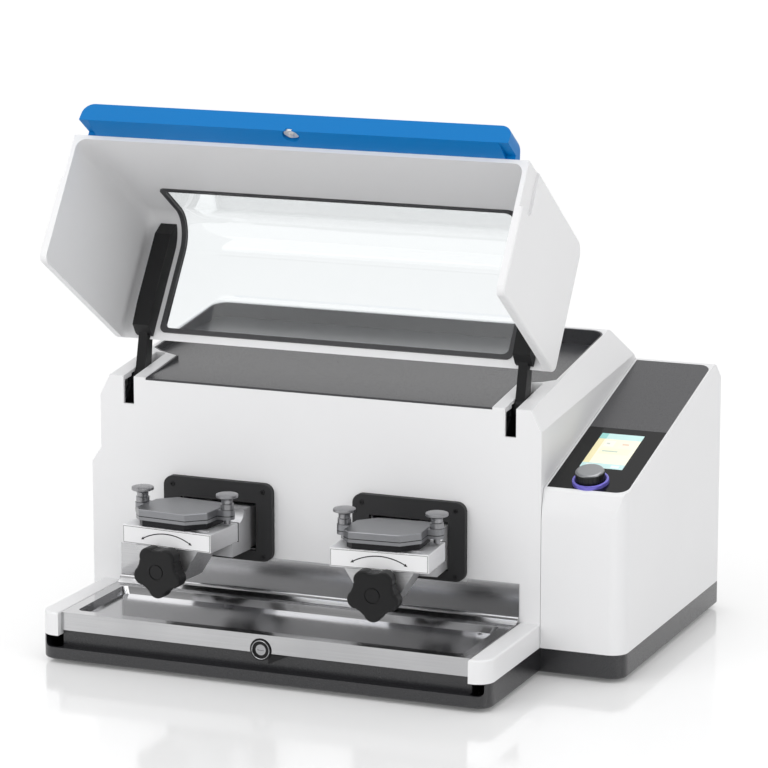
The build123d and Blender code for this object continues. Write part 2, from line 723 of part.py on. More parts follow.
def lid_front(z):
    return LID_FRONT_HIGH + (LID_FRONT_LOW - LID_FRONT_HIGH) * (LID_TOP - z) / (LID_TOP - LID_BOTTOM)


def lid_profile(inset, nose_r, rear, low):
    top = LID_TOP - inset
    nose = (lid_front(top) + inset, top)
    profile = polygon((lid_front(low) + inset, low), nose, (rear, top), (rear, low))
    return soften(profile, nose, nose_r)


def drafted(block, inset):
    draft = atan2(LID_LEAN, LID_TOP - LID_BOTTOM)
    for side in SIDES:
        foot = (side * (LID_HALF_LOW - inset), 0, LID_BOTTOM)
        plane = Plane(origin=foot, z_dir=(side * cos(draft), 0, sin(draft)))
        block = split(block, bisect_by=plane, keep=Keep.BOTTOM)
    return block


def side_edges(block):
    faces = block.faces().sort_by(Axis.X)
    return faces[0].edges() + faces[-1].edges()


def lid_outside():
    profile = lid_profile(0, LID_NOSE_R, LID_REAR, LID_BOTTOM)
    profile = soften(profile, (LID_REAR, LID_TOP), LID_REAR_R)
    profile = soften(profile, (LID_REAR, LID_BOTTOM), LID_FOOT_R)
    block = drafted(along_x(profile, -LID_HALF_LOW, LID_HALF_LOW), 0)
    return fillet(side_edges(block), LID_EDGE_R)


def lid_inside():
    profile = lid_profile(LID_SKIN, LID_BEND_R - LID_SKIN, LID_REAR + LID_BEND_R, LID_BOTTOM - LID_BEND_R)
    block = drafted(along_x(profile, -LID_HALF_LOW, LID_HALF_LOW), LID_CHEEK_T)
    closed = [e for e in side_edges(block) if e.center().Y < LID_REAR and e.center().Z > LID_BOTTOM]
    return fillet(closed, LID_INSIDE_R)


def window_block(margin):
    half = WINDOW_HALF - margin
    block = box(-half, half, -LID_BEND_R, WINDOW_REAR - margin, WINDOW_LOW + margin, LID_TOP + LID_BEND_R)
    front = block.edges().filter_by(Axis.Y).group_by(Axis.Z)[0]
    rear = block.edges().filter_by(Axis.Z).group_by(Axis.Y)[-1]
    return fillet(front + rear, WINDOW_R)


def lid_band(outside, inside):
    outer = lid_profile(outside, LID_BEND_R - outside, LID_REAR, LID_BOTTOM)
    inner = lid_profile(inside, LID_BEND_R - inside, LID_REAR + PAST, LID_BOTTOM - PAST)
    return along_x(outer - inner, -WINDOW_HALF, WINDOW_HALF)


def lid_shell(inside):
    shell = lid_outside() - inside - window_block(0)
    for side in SIDES:
        inner, outer = sorted((side * (LID_HALF_LOW - GRIP_DEPTH), side * (LID_HALF_LOW + GRIP_DEPTH)))
        grip = box(inner, outer, -GRIP_END, GRIP_END, LID_BOTTOM - GRIP_H, LID_BOTTOM + GRIP_H)
        shell -= fillet(grip.edges().filter_by(Axis.X).group_by(Axis.Z)[-1], GRIP_R)
        x = side * ARM_X
        shell -= box(x - SLOT_W / 2, x + SLOT_W / 2, LID_REAR - SLOT_W * 1.5, LID_REAR + PAST,
                     LID_TOP - LID_SKIN - PAST, LID_TOP + PAST)
    return shell


# hinge arms: covered bars under the lid's top whose cranked necks drop into the roof slots
def hinge_arm(x, inside):
    top = LID_TOP - LID_SKIN
    low = top - ARM_DEPTH
    bend = LID_REAR - ARM_BEND
    end = LID_REAR - ARM_COVER_BACK
    neck = polygon((bend, top), (LID_REAR - 20.5, top), (LID_REAR - 7.5, top + 9),
                   (HINGE_Y - 6, HINGE_Z + 10), (HINGE_Y, HINGE_Z), (HINGE_Y - 4, HINGE_Z - 11),
                   (LID_REAR - 2.5, SLOT_FLOOR + 2.5), (LID_REAR - 24.5, low + 4), (bend, low))
    cover = polygon((ARM_FRONT, LID_TOP), (ARM_FRONT, top - ARM_DEPTH / 2), (ARM_FRONT + ARM_DEPTH, low),
                    (bend, low), (end - 6, low + 3), (end, top - 6), (end, LID_TOP))
    cover = along_x(cover, x - ARM_COVER_T / 2, x + ARM_COVER_T / 2) & inside
    hub = rod_x(x - ARM_T / 2, x + ARM_T / 2, HINGE_Y, HINGE_Z, HUB_R)
    arm = cover + along_x(neck, x - ARM_T / 2, x + ARM_T / 2) + hub
    return arm - rod_x(x - ARM_T, x + ARM_T, HINGE_Y, HINGE_Z, PIN_R)


lid_hollow = lid_inside()
mid_skin = (LID_SKIN - PANE_T) / 2
pin_half = ARM_T / 2 + BRACKET_GAP + BRACKET_T
save("lid_shell", SWING_OPEN * lid_shell(lid_hollow))
save("window_gasket", SWING_OPEN * ((lid_band(0, GASKET_T) & window_block(0)) - window_block(GASKET)))
save("window_pane", SWING_OPEN * (lid_band(mid_skin, mid_skin + PANE_T) & window_block(GASKET)))
save("left_hinge_arm", SWING_OPEN * hinge_arm(-ARM_X, lid_hollow))
save("right_hinge_arm", SWING_OPEN * hinge_arm(ARM_X, lid_hollow))
save("hinge_pins", *[rod_x(side * ARM_X - pin_half, side * ARM_X + pin_half, HINGE_Y, HINGE_Z, PIN_R)
                     for side in SIDES])


def bracket_plate(x0, x1):
    back = FRONT_Y + WALL
    near, far = HINGE_Y - BRACKET_HALF, HINGE_Y + BRACKET_HALF
    side = polygon((back, BRACKET_FOOT), (back, SLOT_FLOOR - PAST), (near, BRACKET_TOP - BRACKET_RISE),
                   (near, BRACKET_TOP), (far, BRACKET_TOP), (far, BRACKET_TOP - BRACKET_REAR),
                   (back + BRACKET_FOOT_L, BRACKET_FOOT))
    return along_x(side, x0, x1) - rod_x(x0 - PAST, x1 + PAST, HINGE_Y, HINGE_Z, PIN_R + RUN)


bracket_near = ARM_T / 2 + BRACKET_GAP
save("hinge_brackets", *[bracket_plate(side * ARM_X + start, side * ARM_X + start + BRACKET_T)
                         for side in SIDES for start in (-bracket_near - BRACKET_T, bracket_near)])


# handle strip along the lid's lower edge, with the striker that meets the lock
def handle_strip():
    seat = lid_front(STRIP_TOP)
    heel = LID_FRONT_LOW - STRIP_HEEL
    keel = heel - STRIP_DEPTH
    lap = (lid_front(LID_BOTTOM + STRIP_LAP), LID_BOTTOM + STRIP_LAP)
    wide = polygon((heel, STRIP_LOW), (keel, STRIP_LOW + STRIP_KEEL),
                   (keel + STRIP_LEAN, STRIP_TOP - STRIP_SLOPE), (seat, STRIP_TOP), lap, (heel, lap[1]))
    nested = polygon((heel, STRIP_LOW), (heel, lap[1]), lap, (LID_FRONT_LOW, LID_BOTTOM),
                     (LID_FRONT_LOW, LID_BOTTOM - PAST))
    plan = Pos(0, keel + DEPTH / 2) * RectangleRounded(2 * STRIP_HALF, DEPTH, STRIP_R)
    bar = along_x(wide, -STRIP_HALF, STRIP_HALF) & along_z(plan, 0, LID_TOP)
    return bar + along_x(nested, -STRIP_INNER_HALF, STRIP_INNER_HALF)


pocket = rod_y(0, -STRIKER_DEEP, STRIKER_R, STRIKER_Z, STRIKER_R)
save("handle_strip", SWING_OPEN * (handle_strip() - pocket))
striker_top = STRIKER_T - STRIKER_DEEP
striker = rod_y(0, -STRIKER_DEEP, striker_top, STRIKER_Z, STRIKER_R - TRAY_T)
striker += rod_y(0, -STRIKER_DEEP, striker_top + STRIKER_STUD, STRIKER_Z, STRIKER_STUD)
save("lid_striker", SWING_OPEN * striker)


# seal plates round the ports
def seal_plate(x):
    outline = RectangleRounded(PLATE_W, PLATE_Z[1] - PLATE_Z[0], PLATE_R)
    plate = along_y(Pos(x, sum(PLATE_Z) / 2) * outline, FRONT_Y - PLATE_T, FRONT_Y)
    return plate - box(x - PORT_HALF, x + PORT_HALF, 0, FRONT_Y + PAST, *PORT_Z)


def seal_screws(x):
    face = FRONT_Y - PLATE_T
    return [rod_y(x + side * (PLATE_W / 2 - PLATE_R), face - SCREW_HEAD, face, z, SCREW_R)
            for side in SIDES for z in (PLATE_Z[0] + SCREW_LOW, PLATE_Z[1] - SCREW_HIGH)]


save("housing_screws", *[screw for x, _ in STATIONS.values() for screw in seal_screws(x)])


# one clamping station, drawn with its pivot at the origin and pointing to -y
def swing_arm(rod_low):
    jaw = box(-JAW_HALF, JAW_HALF, JAW_FRONT, UPSTAND_Y[1], *JAW_Z)
    cove = JAW_TOP - JAW_Z[1]
    wall = box(-JAW_HALF, JAW_HALF, UPSTAND_Y[0] - cove, UPSTAND_Y[1], JAW_Z[1], JAW_TOP)
    jaw += wall - rod_x(-JAW_HALF - PAST, JAW_HALF + PAST, UPSTAND_Y[0] - cove, JAW_TOP, cove)
    jaw += box(-NECK_HALF, NECK_HALF, UPSTAND_Y[1], NECK_REAR, JAW_Z[0], JAW_TOP - NECK_DROP)
    root = Pos(0, LEVER_ROOT_Y) * Circle(LEVER_ROOT_R)
    end = Pos(0, LEVER) * Circle(ROD_PIN_R + LEVER_END)
    jaw += along_z(make_hull(root.edges() + end.edges()), *LEVER_Z)
    jaw += rod_z(0, LEVER, LEVER_Z[0], rod_low + ROD_T, ROD_PIN_R)
    jaw += rod_y(0, JAW_FRONT - NUT_L, JAW_FRONT + PAST, SPINDLE_Z, NUT_R)
    for x in (-GUIDE_X, GUIDE_X):
        tip = BAR_Y[0] + BAR_BORE + CLAMP_SPARE
        jaw += rod_y(x, tip, JAW_FRONT + PAST, (BAR_Z[0] + JAW_Z[1]) / 2, GUIDE_R)
    jaw -= rod_z(0, 0, JAW_Z[0] - PAST, JAW_TOP, POST_R + RUN)
    return jaw - rod_y(0, JAW_FRONT - NUT_L - PAST, UPSTAND_Y[0], SPINDLE_Z, SPINDLE_R + RUN)


def clamp_carriage():
    bar = fillet(box(-BAR_HALF, BAR_HALF, *BAR_Y, *BAR_Z).edges(), BAR_EDGE)
    for x in (-GUIDE_X, GUIDE_X):
        bar -= rod_y(x, BAR_Y[0] + BAR_BORE, BAR_Y[1] + PAST, (BAR_Z[0] + JAW_Z[1]) / 2, GUIDE_R + RUN)
    return bar - box(*POCKET_X, BAR_Y[0] + POCKET_Y[0], BAR_Y[0] + POCKET_Y[1],
                     BAR_Z[1] - POCKET_T, BAR_Z[1] + PAST)


def trough_outline(inset, drop):
    top, low = TROUGH_W[0] / 2 - inset, TROUGH_W[1] / 2 - inset * 0.6
    return polygon((-top, BAR_Z[0] + drop), (-low, TROUGH_LOW + inset), (low, TROUGH_LOW + inset),
                   (top, BAR_Z[0] + drop))


def clamp_bracket():
    rear = JAW_FRONT - TROUGH_REAR
    body = along_y(trough_outline(0, 0), BAR_Y[0], rear)
    body -= along_y(trough_outline(TROUGH_T, PAST), BAR_Y[0] + TROUGH_FRONT_T, rear + PAST)
    return body - rod_y(0, BAR_Y[0] - PAST, BAR_Y[0] + TROUGH_FRONT_T + PAST, SPINDLE_Z, SPINDLE_R + LOOSE)


def star_knob():
    pitch = 360 / KNOB_LOBES
    core = KNOB_R - KNOB_VALLEY
    star = Circle(core + PAST)
    for i in range(KNOB_LOBES):
        star += Rot(0, 0, i * pitch - 90) * Pos(KNOB_R - KNOB_LOBE_R, 0) * Circle(KNOB_LOBE_R)
    for i in range(KNOB_LOBES):
        star -= Rot(0, 0, (i + 0.5) * pitch - 90) * Pos(core + KNOB_VALLEY_R, 0) * Circle(KNOB_VALLEY_R)
    rear = BAR_Y[0] - KNOB_GAP
    front = rear - KNOB_NECK - KNOB_T
    knob = along_y(Pos(0, SPINDLE_Z) * star, front, rear - KNOB_NECK)
    knob = fillet(knob.edges().group_by(Axis.Y)[0], KNOB_SOFT_R)
    groove = Circle(KNOB_CAP_R) - Circle(KNOB_CAP_R - KNOB_GROOVE)
    knob -= along_y(Pos(0, SPINDLE_Z) * groove, front - PAST, front + KNOB_GROOVE)
    return knob + rod_y(0, rear - KNOB_NECK, rear, SPINDLE_Z, KNOB_NECK_R)


def spindle():
    shaft = rod_y(0, BAR_Y[0] - KNOB_GAP, UPSTAND_Y[0] - 2 * SPINDLE_R, SPINDLE_Z, SPINDLE_R)
    return shaft + rod_y(0, BAR_Y[0] + COLLAR_Y[0], BAR_Y[0] + COLLAR_Y[1], SPINDLE_Z, SPINDLE_R + COLLAR_T)


def jar_outline(grow):
    half_x, half_y = JAR_SIZE[0] / 2 + grow, JAR_SIZE[1] / 2 + grow
    big, small = JAR_CHAMFER
    return Pos(0, JAR_Y) * polygon(
        (small - half_x, -half_y), (half_x - big, -half_y), (half_x, big - half_y),
        (half_x, half_y - small), (half_x - small, half_y), (big - half_x, half_y),
        (-half_x, half_y - big), (-half_x, small - half_y))


ear_places = [(-1, JAR_Y + EAR_SHIFT[0]), (1, JAR_Y + EAR_SHIFT[1])]
flange_z = BAR_Z[1] + JAR_BASE_H
seam_z = flange_z + JAR_FLANGE_H
jar_top = seam_z + JAR_LID_H


def ears(z0):
    pieces = []
    for side, y in ear_places:
        inner, outer = sorted((side * (JAR_SIZE[0] / 2 - EAR_ROOT), side * EAR_X))
        pieces.append(box(inner, outer, y - EAR_W / 2, y + EAR_W / 2, z0, z0 + EAR_H))
        pieces.append(rod_z(side * EAR_X, y, z0, z0 + EAR_H, EAR_W / 2))
    return pieces


def thread_holes(z0, z1):
    return [rod_z(side * EAR_X, y, z0 - PAST, z1 + PAST, THREAD_R + RUN) for side, y in ear_places]


def jar_body():
    jar = along_z(jar_outline(-JAR_BASE_IN), BAR_Z[1], flange_z) + along_z(jar_outline(0), flange_z, seam_z)
    for ear in ears(flange_z):
        jar += ear
    jar -= rod_z(0, JAR_Y, seam_z - JAR_CHAMBER_H, seam_z + PAST, JAR_CHAMBER_R)
    for hole in thread_holes(BAR_Z[1], seam_z):
        jar -= hole
    return jar


def jar_lid():
    top = along_z(jar_outline(0), seam_z, jar_top)
    top = chamfer(top.faces().sort_by(Axis.Z)[-1].edges(), JAR_LID_EDGE)
    for ear in ears(seam_z):
        top += ear
    top += rod_z(0, JAR_Y, seam_z - JAR_SPIGOT, seam_z, JAR_CHAMBER_R - LOOSE)
    for hole in thread_holes(seam_z, jar_top):
        top -= hole
    return top


def thumb_screw(side, y):
    seat = seam_z + EAR_H
    x = side * EAR_X
    cap = rod_z(x, y, seat + THUMB_H - THUMB_CAP, seat + THUMB_H, THUMB_R)
    cap = chamfer(cap.edges().filter_by(GeomType.CIRCLE), THUMB_EDGE)
    stem = rod_z(x, y, seat, seat + THUMB_H - PAST, THUMB_STEM_R)
    return cap + stem + rod_z(x, y, BAR_Z[1] + THREAD_LOW, seat + PAST, THREAD_R)


def conrod(hand, low):
    eye = ROD_PIN_R + ROD_EYE
    bore = ECCENTRIC_R + 2 * THROW + ROD_CLEAR
    far = Pos(hand * STATION, 0)
    shape = make_hull(Circle(eye).edges() + (far * Circle(eye)).edges()) + far * Circle(bore + ROD_BIG_END)
    return along_z(shape - Circle(ROD_PIN_R + RUN) - far * Circle(bore), low, low + ROD_T)


for index, (name, (x, turn)) in enumerate(STATIONS.items()):
    hand = 1 if x < DRIVE_X else -1
    place = Pos(x, PIVOT_Y, 0) * Rot(0, 0, turn)
    save(f"{name}_seal_plate", seal_plate(x))
    save(f"{name}_swing_arm", place * swing_arm(ROD_Z[index]))
    save(f"{name}_clamp_carriage", place * clamp_carriage())
    save(f"{name}_clamp_bracket", place * clamp_bracket())
    save(f"{name}_star_knob", place * star_knob())
    save(f"{name}_clamp_spindle", place * spindle())
    save(f"{name}_jar_body", place * jar_body())
    save(f"{name}_jar_lid", place * jar_lid())
    for label, (side, y) in zip(("a", "b"), ear_places):
        save(f"{name}_thumb_screw_{label}", place * thumb_screw(side, y))
    save(f"{name}_conrod", Pos(x + hand * THROW, CRANK_Y, 0) * conrod(hand, ROD_Z[index]))

# crank drive: a frame of two plates with posts and legs, crankshaft, pulleys, belt and motor
frame_half = STATION + FRAME_WIDER
frame_y = FRONT_Y + WALL + PAST
bearing_r = CRANK_R + BEARING_T


def drive_frame():
    lower = box(DRIVE_X - frame_half, DRIVE_X + frame_half + FRAME_LONGER,
                frame_y, DEPTH - FRAME_END, *FRAME_LOW)
    upper = box(DRIVE_X - frame_half, DRIVE_X + frame_half, frame_y, CRANK_Y + FRAME_LONGER, *FRAME_HIGH)
    pieces = [plate - rod_z(DRIVE_X, CRANK_Y, 0, RIM_Z, bearing_r) for plate in (lower, upper)]
    arm_low = JAW_Z[0] - LOOSE
    for side in SIDES:
        x = DRIVE_X + side * STATION
        pieces.append(rod_z(x, PIVOT_Y, FRAME_LOW[1], arm_low, POST_R + POST_COLLAR))
        pieces.append(rod_z(x, PIVOT_Y, arm_low, FRAME_HIGH[0], POST_R))
        middle = DRIVE_X + side * (frame_half - FRAME_STAY / 2)
        stay = box(middle - FRAME_STAY / 2, middle + FRAME_STAY / 2, CRANK_Y + FRAME_LONGER - FRAME_STAY_L,
                   CRANK_Y + FRAME_LONGER, FRAME_LOW[1], FRAME_HIGH[0])
        pieces.append(stay - rod_z(*MOTOR, FRAME_LOW[1], FRAME_HIGH[0], MOTOR_R + MOTOR_ROOM))
    for x in (DRIVE_X - frame_half + FRAME_LEG_IN, DRIVE_X + frame_half + FRAME_LONGER - FRAME_LEG_IN):
        for y in (frame_y + FRAME_LEG_IN, DEPTH - FRAME_END - FRAME_LEG_IN):
            pieces.append(rod_z(x, y, PLINTH_TOP, FRAME_LOW[0], FRAME_LEG_R))
    return pieces


def bearing(z0, z1):
    bore = rod_z(DRIVE_X, CRANK_Y, z0 - PAST, z1 + PAST, CRANK_R + RUN)
    return rod_z(DRIVE_X, CRANK_Y, z0, z1, bearing_r) - bore


def crankshaft():
    shaft = rod_z(DRIVE_X, CRANK_Y, FRAME_LOW[0], FRAME_HIGH[1], CRANK_R)
    for low, throw in zip(ROD_Z, (THROW, -THROW)):
        shaft += rod_z(DRIVE_X + throw, CRANK_Y, low, low + ROD_T, ECCENTRIC_R)
    wheel_z = (ROD_Z[1] + ROD_T + FLYWHEEL_LOW, FRAME_HIGH[0] - FLYWHEEL_HIGH)
    return shaft + rod_z(DRIVE_X, CRANK_Y, *wheel_z, FLYWHEEL_R)


def grooved(x, y, r):
    wheel = rod_z(x, y, *PULLEY_Z, r)
    pitch = (PULLEY_Z[1] - PULLEY_Z[0] - 2 * PULLEY_EDGE) / BELT_RIBS
    for i in range(BELT_RIBS):
        z = PULLEY_Z[0] + PULLEY_EDGE + pitch * (i + 0.5)
        groove = Plane.XZ * polygon((r - GROOVE, z), (r + PAST, z - pitch / 2), (r + PAST, z + pitch / 2))
        wheel -= Pos(x, y, 0) * revolve(groove, axis=Axis.Z)
    return wheel


def belt_loop(grow):
    crank = Pos(DRIVE_X, CRANK_Y) * Circle(PULLEY_R + grow)
    motor = Pos(*MOTOR) * Circle(MOTOR_PULLEY_R + grow)
    return make_hull(crank.edges() + motor.edges())


def crank_pulley():
    wheel = grooved(DRIVE_X, CRANK_Y, PULLEY_R) - rod_z(DRIVE_X, CRANK_Y, 0, RIM_Z, CRANK_R)
    hole = rod_z(SPOKE_AT, 0, PULLEY_Z[0] - PAST, PULLEY_Z[1] + PAST, SPOKE_R)
    for i in range(SPOKE_HOLES):
        wheel -= Pos(DRIVE_X, CRANK_Y, 0) * Rot(0, 0, i * 360 / SPOKE_HOLES) * hole
    return wheel


def motor_housing():
    motor = rod_z(0, 0, *MOTOR_Z, MOTOR_R)
    motor -= rod_z(0, 0, MOTOR_Z[0] - PAST, shaft_top + PAST, ROD_PIN_R + RUN)
    gap = box(MOTOR_R - FIN_DEPTH, MOTOR_R + PAST, -FIN_GAP / 2, FIN_GAP / 2, MOTOR_Z[0] + FIN_ENDS[0],
              MOTOR_Z[1] - FIN_ENDS[1])
    for i in range(MOTOR_FINS):
        motor -= Rot(0, 0, i * 360 / MOTOR_FINS) * gap
    stud = rod_z(MOTOR_R - STUD_IN, 0, FRAME_LOW[1], MOTOR_Z[0] + PAST, STUD_R)
    for i in range(MOTOR_STUDS):
        motor += Rot(0, 0, (i + 0.5) * 360 / MOTOR_STUDS) * stud
    return Pos(*MOTOR, 0) * motor


shaft_top = MOTOR_Z[0] + MOTOR_SHAFT
belt = belt_loop(BELT_GAP + BELT_T) - belt_loop(BELT_GAP)
belt = along_z(belt, PULLEY_Z[0] + GROOVE, PULLEY_Z[1] - GROOVE)
save("drive_frame", *drive_frame())
save("shaft_bearings", bearing(*FRAME_LOW), bearing(*FRAME_HIGH))
save("crankshaft", crankshaft())
save("crank_pulley", crank_pulley())
save("motor_pulley", grooved(*MOTOR, MOTOR_PULLEY_R) + rod_z(*MOTOR, PULLEY_Z[0], shaft_top, ROD_PIN_R))
save("drive_belt", belt)
save("motor_housing", motor_housing())


# control board behind the display
def control_board():
    front = FRONT_Y + BOARD_Y
    back = front + BOARD_T
    board = box(COLUMN_LEFT + BOARD_SIDE, COLUMN_RIGHT - BOARD_SIDE, front, back,
                PLINTH_TOP + BOARD_Z[0], PLINTH_TOP + BOARD_Z[1])
    foot_w, foot_l, foot_h = BOARD_FOOT
    for x in (COLUMN_LEFT + BOARD_SIDE, COLUMN_RIGHT - BOARD_SIDE - foot_w):
        board += box(x, x + foot_w, front, front + foot_l, PLINTH_TOP, PLINTH_TOP + foot_h)
    chip_w, chip_t, chip_h = CHIP
    for i in range(CHIPS):
        x = COLUMN_LEFT + CHIP_START[0] + i * CHIP_STEP[0]
        z = PLINTH_TOP + CHIP_START[1] + i * CHIP_STEP[1]
        board += box(x, x + chip_w, front - chip_t, front, z, z + chip_h)
    return board


save("control_board", control_board())

# rear service panel with vents, fan, inlet and switch
rear_in = DEPTH - WALL
rear_face = rear_in - REAR_T


def rear_panel():
    panel = box(-REAR_HALF - REAR_LAP, REAR_HALF + REAR_LAP, rear_face, rear_in, REAR_Z[0] - REAR_LAP,
                REAR_Z[1] + REAR_LAP)
    for i in range(VENTS):
        x = VENT_X + i * VENT_PITCH
        panel -= box(x, x + VENT_W, rear_face - PAST, rear_in + PAST,
                     FAN_Z - VENT_H / 2, FAN_Z + VENT_H / 2)
    spokes = Rectangle(2 * FAN_R, GUARD_SPOKE) + Rectangle(GUARD_SPOKE, 2 * FAN_R)
    for i in range(GUARD_RINGS):
        r = FAN_R - GUARD_GAP - i * GUARD_PITCH
        slots = Circle(r) - Circle(r - GUARD_GAP) - spokes
        panel -= along_y(Pos(FAN_X, FAN_Z) * slots, rear_face - PAST, rear_in + PAST)
    for z, (half_x, half_z) in ((INLET_Z, INLET_HALF), (SWITCH_Z, SWITCH_HALF)):
        panel -= box(INLET_X - half_x, INLET_X + half_x, rear_face - PAST, rear_in + PAST,
                     z - half_z, z + half_z)
    return panel


def fan_housing():
    half = FAN_R + FAN_WALL
    back = rear_face - FAN_T
    case = box(-half, half, back, rear_face, -half, half)
    case -= rod_y(0, back - PAST, rear_face + PAST, 0, FAN_R)
    case += rod_y(0, back, back + FAN_STRUT, 0, FAN_HUB_R)
    case += rod_y(0, back, rear_face - 2 * FAN_STRUT, 0, FAN_AXLE_R)
    strut = box(FAN_HUB_R - FAN_WALL, FAN_R + PAST, back, back + FAN_STRUT, -FAN_TIP, FAN_TIP)
    for i in range(MOTOR_STUDS):
        case += Rot(0, (i + 0.5) * 360 / MOTOR_STUDS, 0) * strut
    return Pos(FAN_X, 0, FAN_Z) * case


def fan_rotor():
    back = rear_face - FAN_T
    rotor = rod_y(0, back + ROTOR_GAP, rear_face - ROTOR_GAP, 0, ROTOR_R)
    root, tip = ROTOR_R - FAN_TIP, FAN_R - FAN_TIP
    blade = Pos((root + tip) / 2, 0, 0) * Rot(-BLADE_TURN, 0, 0) * Box(tip - root, BLADE_T, BLADE_W)
    for i in range(FAN_BLADES):
        rotor += Pos(0, rear_face - FAN_T / 2, 0) * Rot(0, i * 360 / FAN_BLADES, 0) * blade
    rotor -= rod_y(0, back, rear_face - 2 * FAN_STRUT + LOOSE, 0, FAN_AXLE_R + RUN)
    return Pos(FAN_X, 0, FAN_Z) * rotor


def inlet_body():
    half_x, half_z = INLET_HALF
    body = box(LOOSE - half_x, half_x - LOOSE, rear_face - INLET_DEEP, rear_in,
               LOOSE - half_z, half_z - LOOSE)
    body += box(-half_x - INLET_RIM, half_x + INLET_RIM, rear_in, rear_in + SWITCH_FRAME_T,
                -half_z - INLET_RIM, half_z + INLET_RIM)
    mouth_x, mouth_z = INLET_MOUTH
    floor_y = rear_face - INLET_DEEP + 2 * SWITCH_FRAME_T
    body -= box(-mouth_x, mouth_x, floor_y, rear_in + INLET_RIM, -mouth_z, mouth_z)
    for x, z in INLET_PINS:
        body += box(x - PAST, x + PAST, floor_y - PAST, rear_in - INLET_RIM, z - 2 * PAST, z + 2 * PAST)
    return Pos(INLET_X, 0, INLET_Z) * body


def switch_frame():
    half_x, half_z = SWITCH_HALF[0] - LOOSE, SWITCH_HALF[1] - LOOSE
    rise = SWITCH_Z - INLET_Z
    flange = box(-INLET_HALF[0] - INLET_RIM, INLET_HALF[0] + INLET_RIM, rear_in, rear_in + SWITCH_FRAME_T,
                 INLET_HALF[1] + FAN_TIP - rise, SWITCH_HALF[1] + INLET_RIM)
    frame = flange + box(-half_x, half_x, rear_face - SWITCH_DEEP, rear_in, -half_z, half_z)
    frame -= box(SWITCH_WALL - half_x, half_x - SWITCH_WALL, rear_face - SWITCH_DEEP + SWITCH_FRAME_T,
                 rear_in + SWITCH_FRAME_T, SWITCH_WALL - half_z, half_z - SWITCH_WALL)
    return Pos(INLET_X, 0, SWITCH_Z) * (frame - rod_x(-half_x, half_x, rocker_y, 0, ROCKER_PIN_R + RUN))


def rocker_switch():
    half_x, half_z = ROCKER_HALF
    low, high = rear_in - ROCKER_DEEP, rear_in + ROCKER_PIN_R
    section = polygon((low, -half_z), (high, -half_z), (high - PAST, 0),
                      (rear_in + ROCKER_PIN_BACK, half_z), (low, half_z))
    rocker = along_x(section, -half_x, half_x)
    pin_half = SWITCH_HALF[0] - LOOSE
    return Pos(INLET_X, 0, SWITCH_Z) * (rocker + rod_x(-pin_half, pin_half, rocker_y, 0, ROCKER_PIN_R))


rocker_y = rear_in - ROCKER_PIN_BACK
save("rear_panel", rear_panel())
save("fan_housing", fan_housing())
save("fan_rotor", fan_rotor())
save("power_inlet", inlet_body() + switch_frame())
save("rocker_switch", rocker_switch())
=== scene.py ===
# %% [markdown]
# A bench mixer mill, dressed in Blender.
# The shapes of the machine are already there: they arrive as a frame of solid parts, each on the moving body that
# carries it. What is left to do is what the eye needs: the finish of every surface, the small repeated details
# that are too fine for the solids, a studio, and a camera.

# %% Load the frame
import bpy
import bmesh
import json
import math
from mathutils import Matrix, Vector


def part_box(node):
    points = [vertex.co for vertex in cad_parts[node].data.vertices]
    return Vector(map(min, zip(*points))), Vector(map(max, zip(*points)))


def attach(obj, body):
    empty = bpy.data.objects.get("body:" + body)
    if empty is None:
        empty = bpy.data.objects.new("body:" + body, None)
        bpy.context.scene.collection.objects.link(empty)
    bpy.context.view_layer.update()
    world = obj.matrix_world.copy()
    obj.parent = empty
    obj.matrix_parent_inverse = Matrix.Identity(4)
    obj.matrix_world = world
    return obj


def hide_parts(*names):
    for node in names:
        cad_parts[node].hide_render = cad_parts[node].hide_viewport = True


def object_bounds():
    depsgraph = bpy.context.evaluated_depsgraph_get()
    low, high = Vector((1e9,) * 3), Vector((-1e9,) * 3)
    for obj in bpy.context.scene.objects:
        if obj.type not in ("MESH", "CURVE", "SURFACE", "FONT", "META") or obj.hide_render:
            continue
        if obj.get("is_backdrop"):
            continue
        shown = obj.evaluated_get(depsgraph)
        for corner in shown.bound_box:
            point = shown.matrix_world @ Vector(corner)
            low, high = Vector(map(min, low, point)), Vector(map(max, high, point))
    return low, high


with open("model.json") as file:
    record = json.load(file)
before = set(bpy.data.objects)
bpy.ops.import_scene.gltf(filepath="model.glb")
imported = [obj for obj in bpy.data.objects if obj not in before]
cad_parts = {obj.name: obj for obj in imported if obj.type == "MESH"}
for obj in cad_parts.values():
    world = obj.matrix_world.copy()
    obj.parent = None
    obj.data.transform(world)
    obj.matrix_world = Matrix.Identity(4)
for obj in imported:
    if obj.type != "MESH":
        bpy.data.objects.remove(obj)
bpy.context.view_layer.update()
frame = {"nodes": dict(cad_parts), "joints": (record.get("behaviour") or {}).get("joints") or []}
parts = frame["nodes"]
joints = {joint["name"]: joint for joint in frame["joints"]}

# %% [markdown]
# Colours are written as sRGB hex values, the way a paint chart or a screen gives them, and one function turns them
# into the linear numbers that shaders work with. One more small function adds a node, sets it and links it, so each
# material below reads as a short list of nodes.

# %% Colour and node helpers
MM = 0.001


def linear(code):
    channels = [int(code[i:i + 2], 16) / 255 for i in (1, 3, 5)]
    return [c / 12.92 if c <= 0.04045 else ((c + 0.055) / 1.055) ** 2.4 for c in channels] + [1.0]


def wire(tree, kind, settings=None, inputs=None):
    made = tree.nodes.new(kind)
    for name, value in (settings or {}).items():
        setattr(made, name, value)
    for name, value in (inputs or {}).items():
        if isinstance(value, bpy.types.NodeSocket):
            tree.links.new(value, made.inputs[name])
        else:
            made.inputs[name].default_value = value
    return made


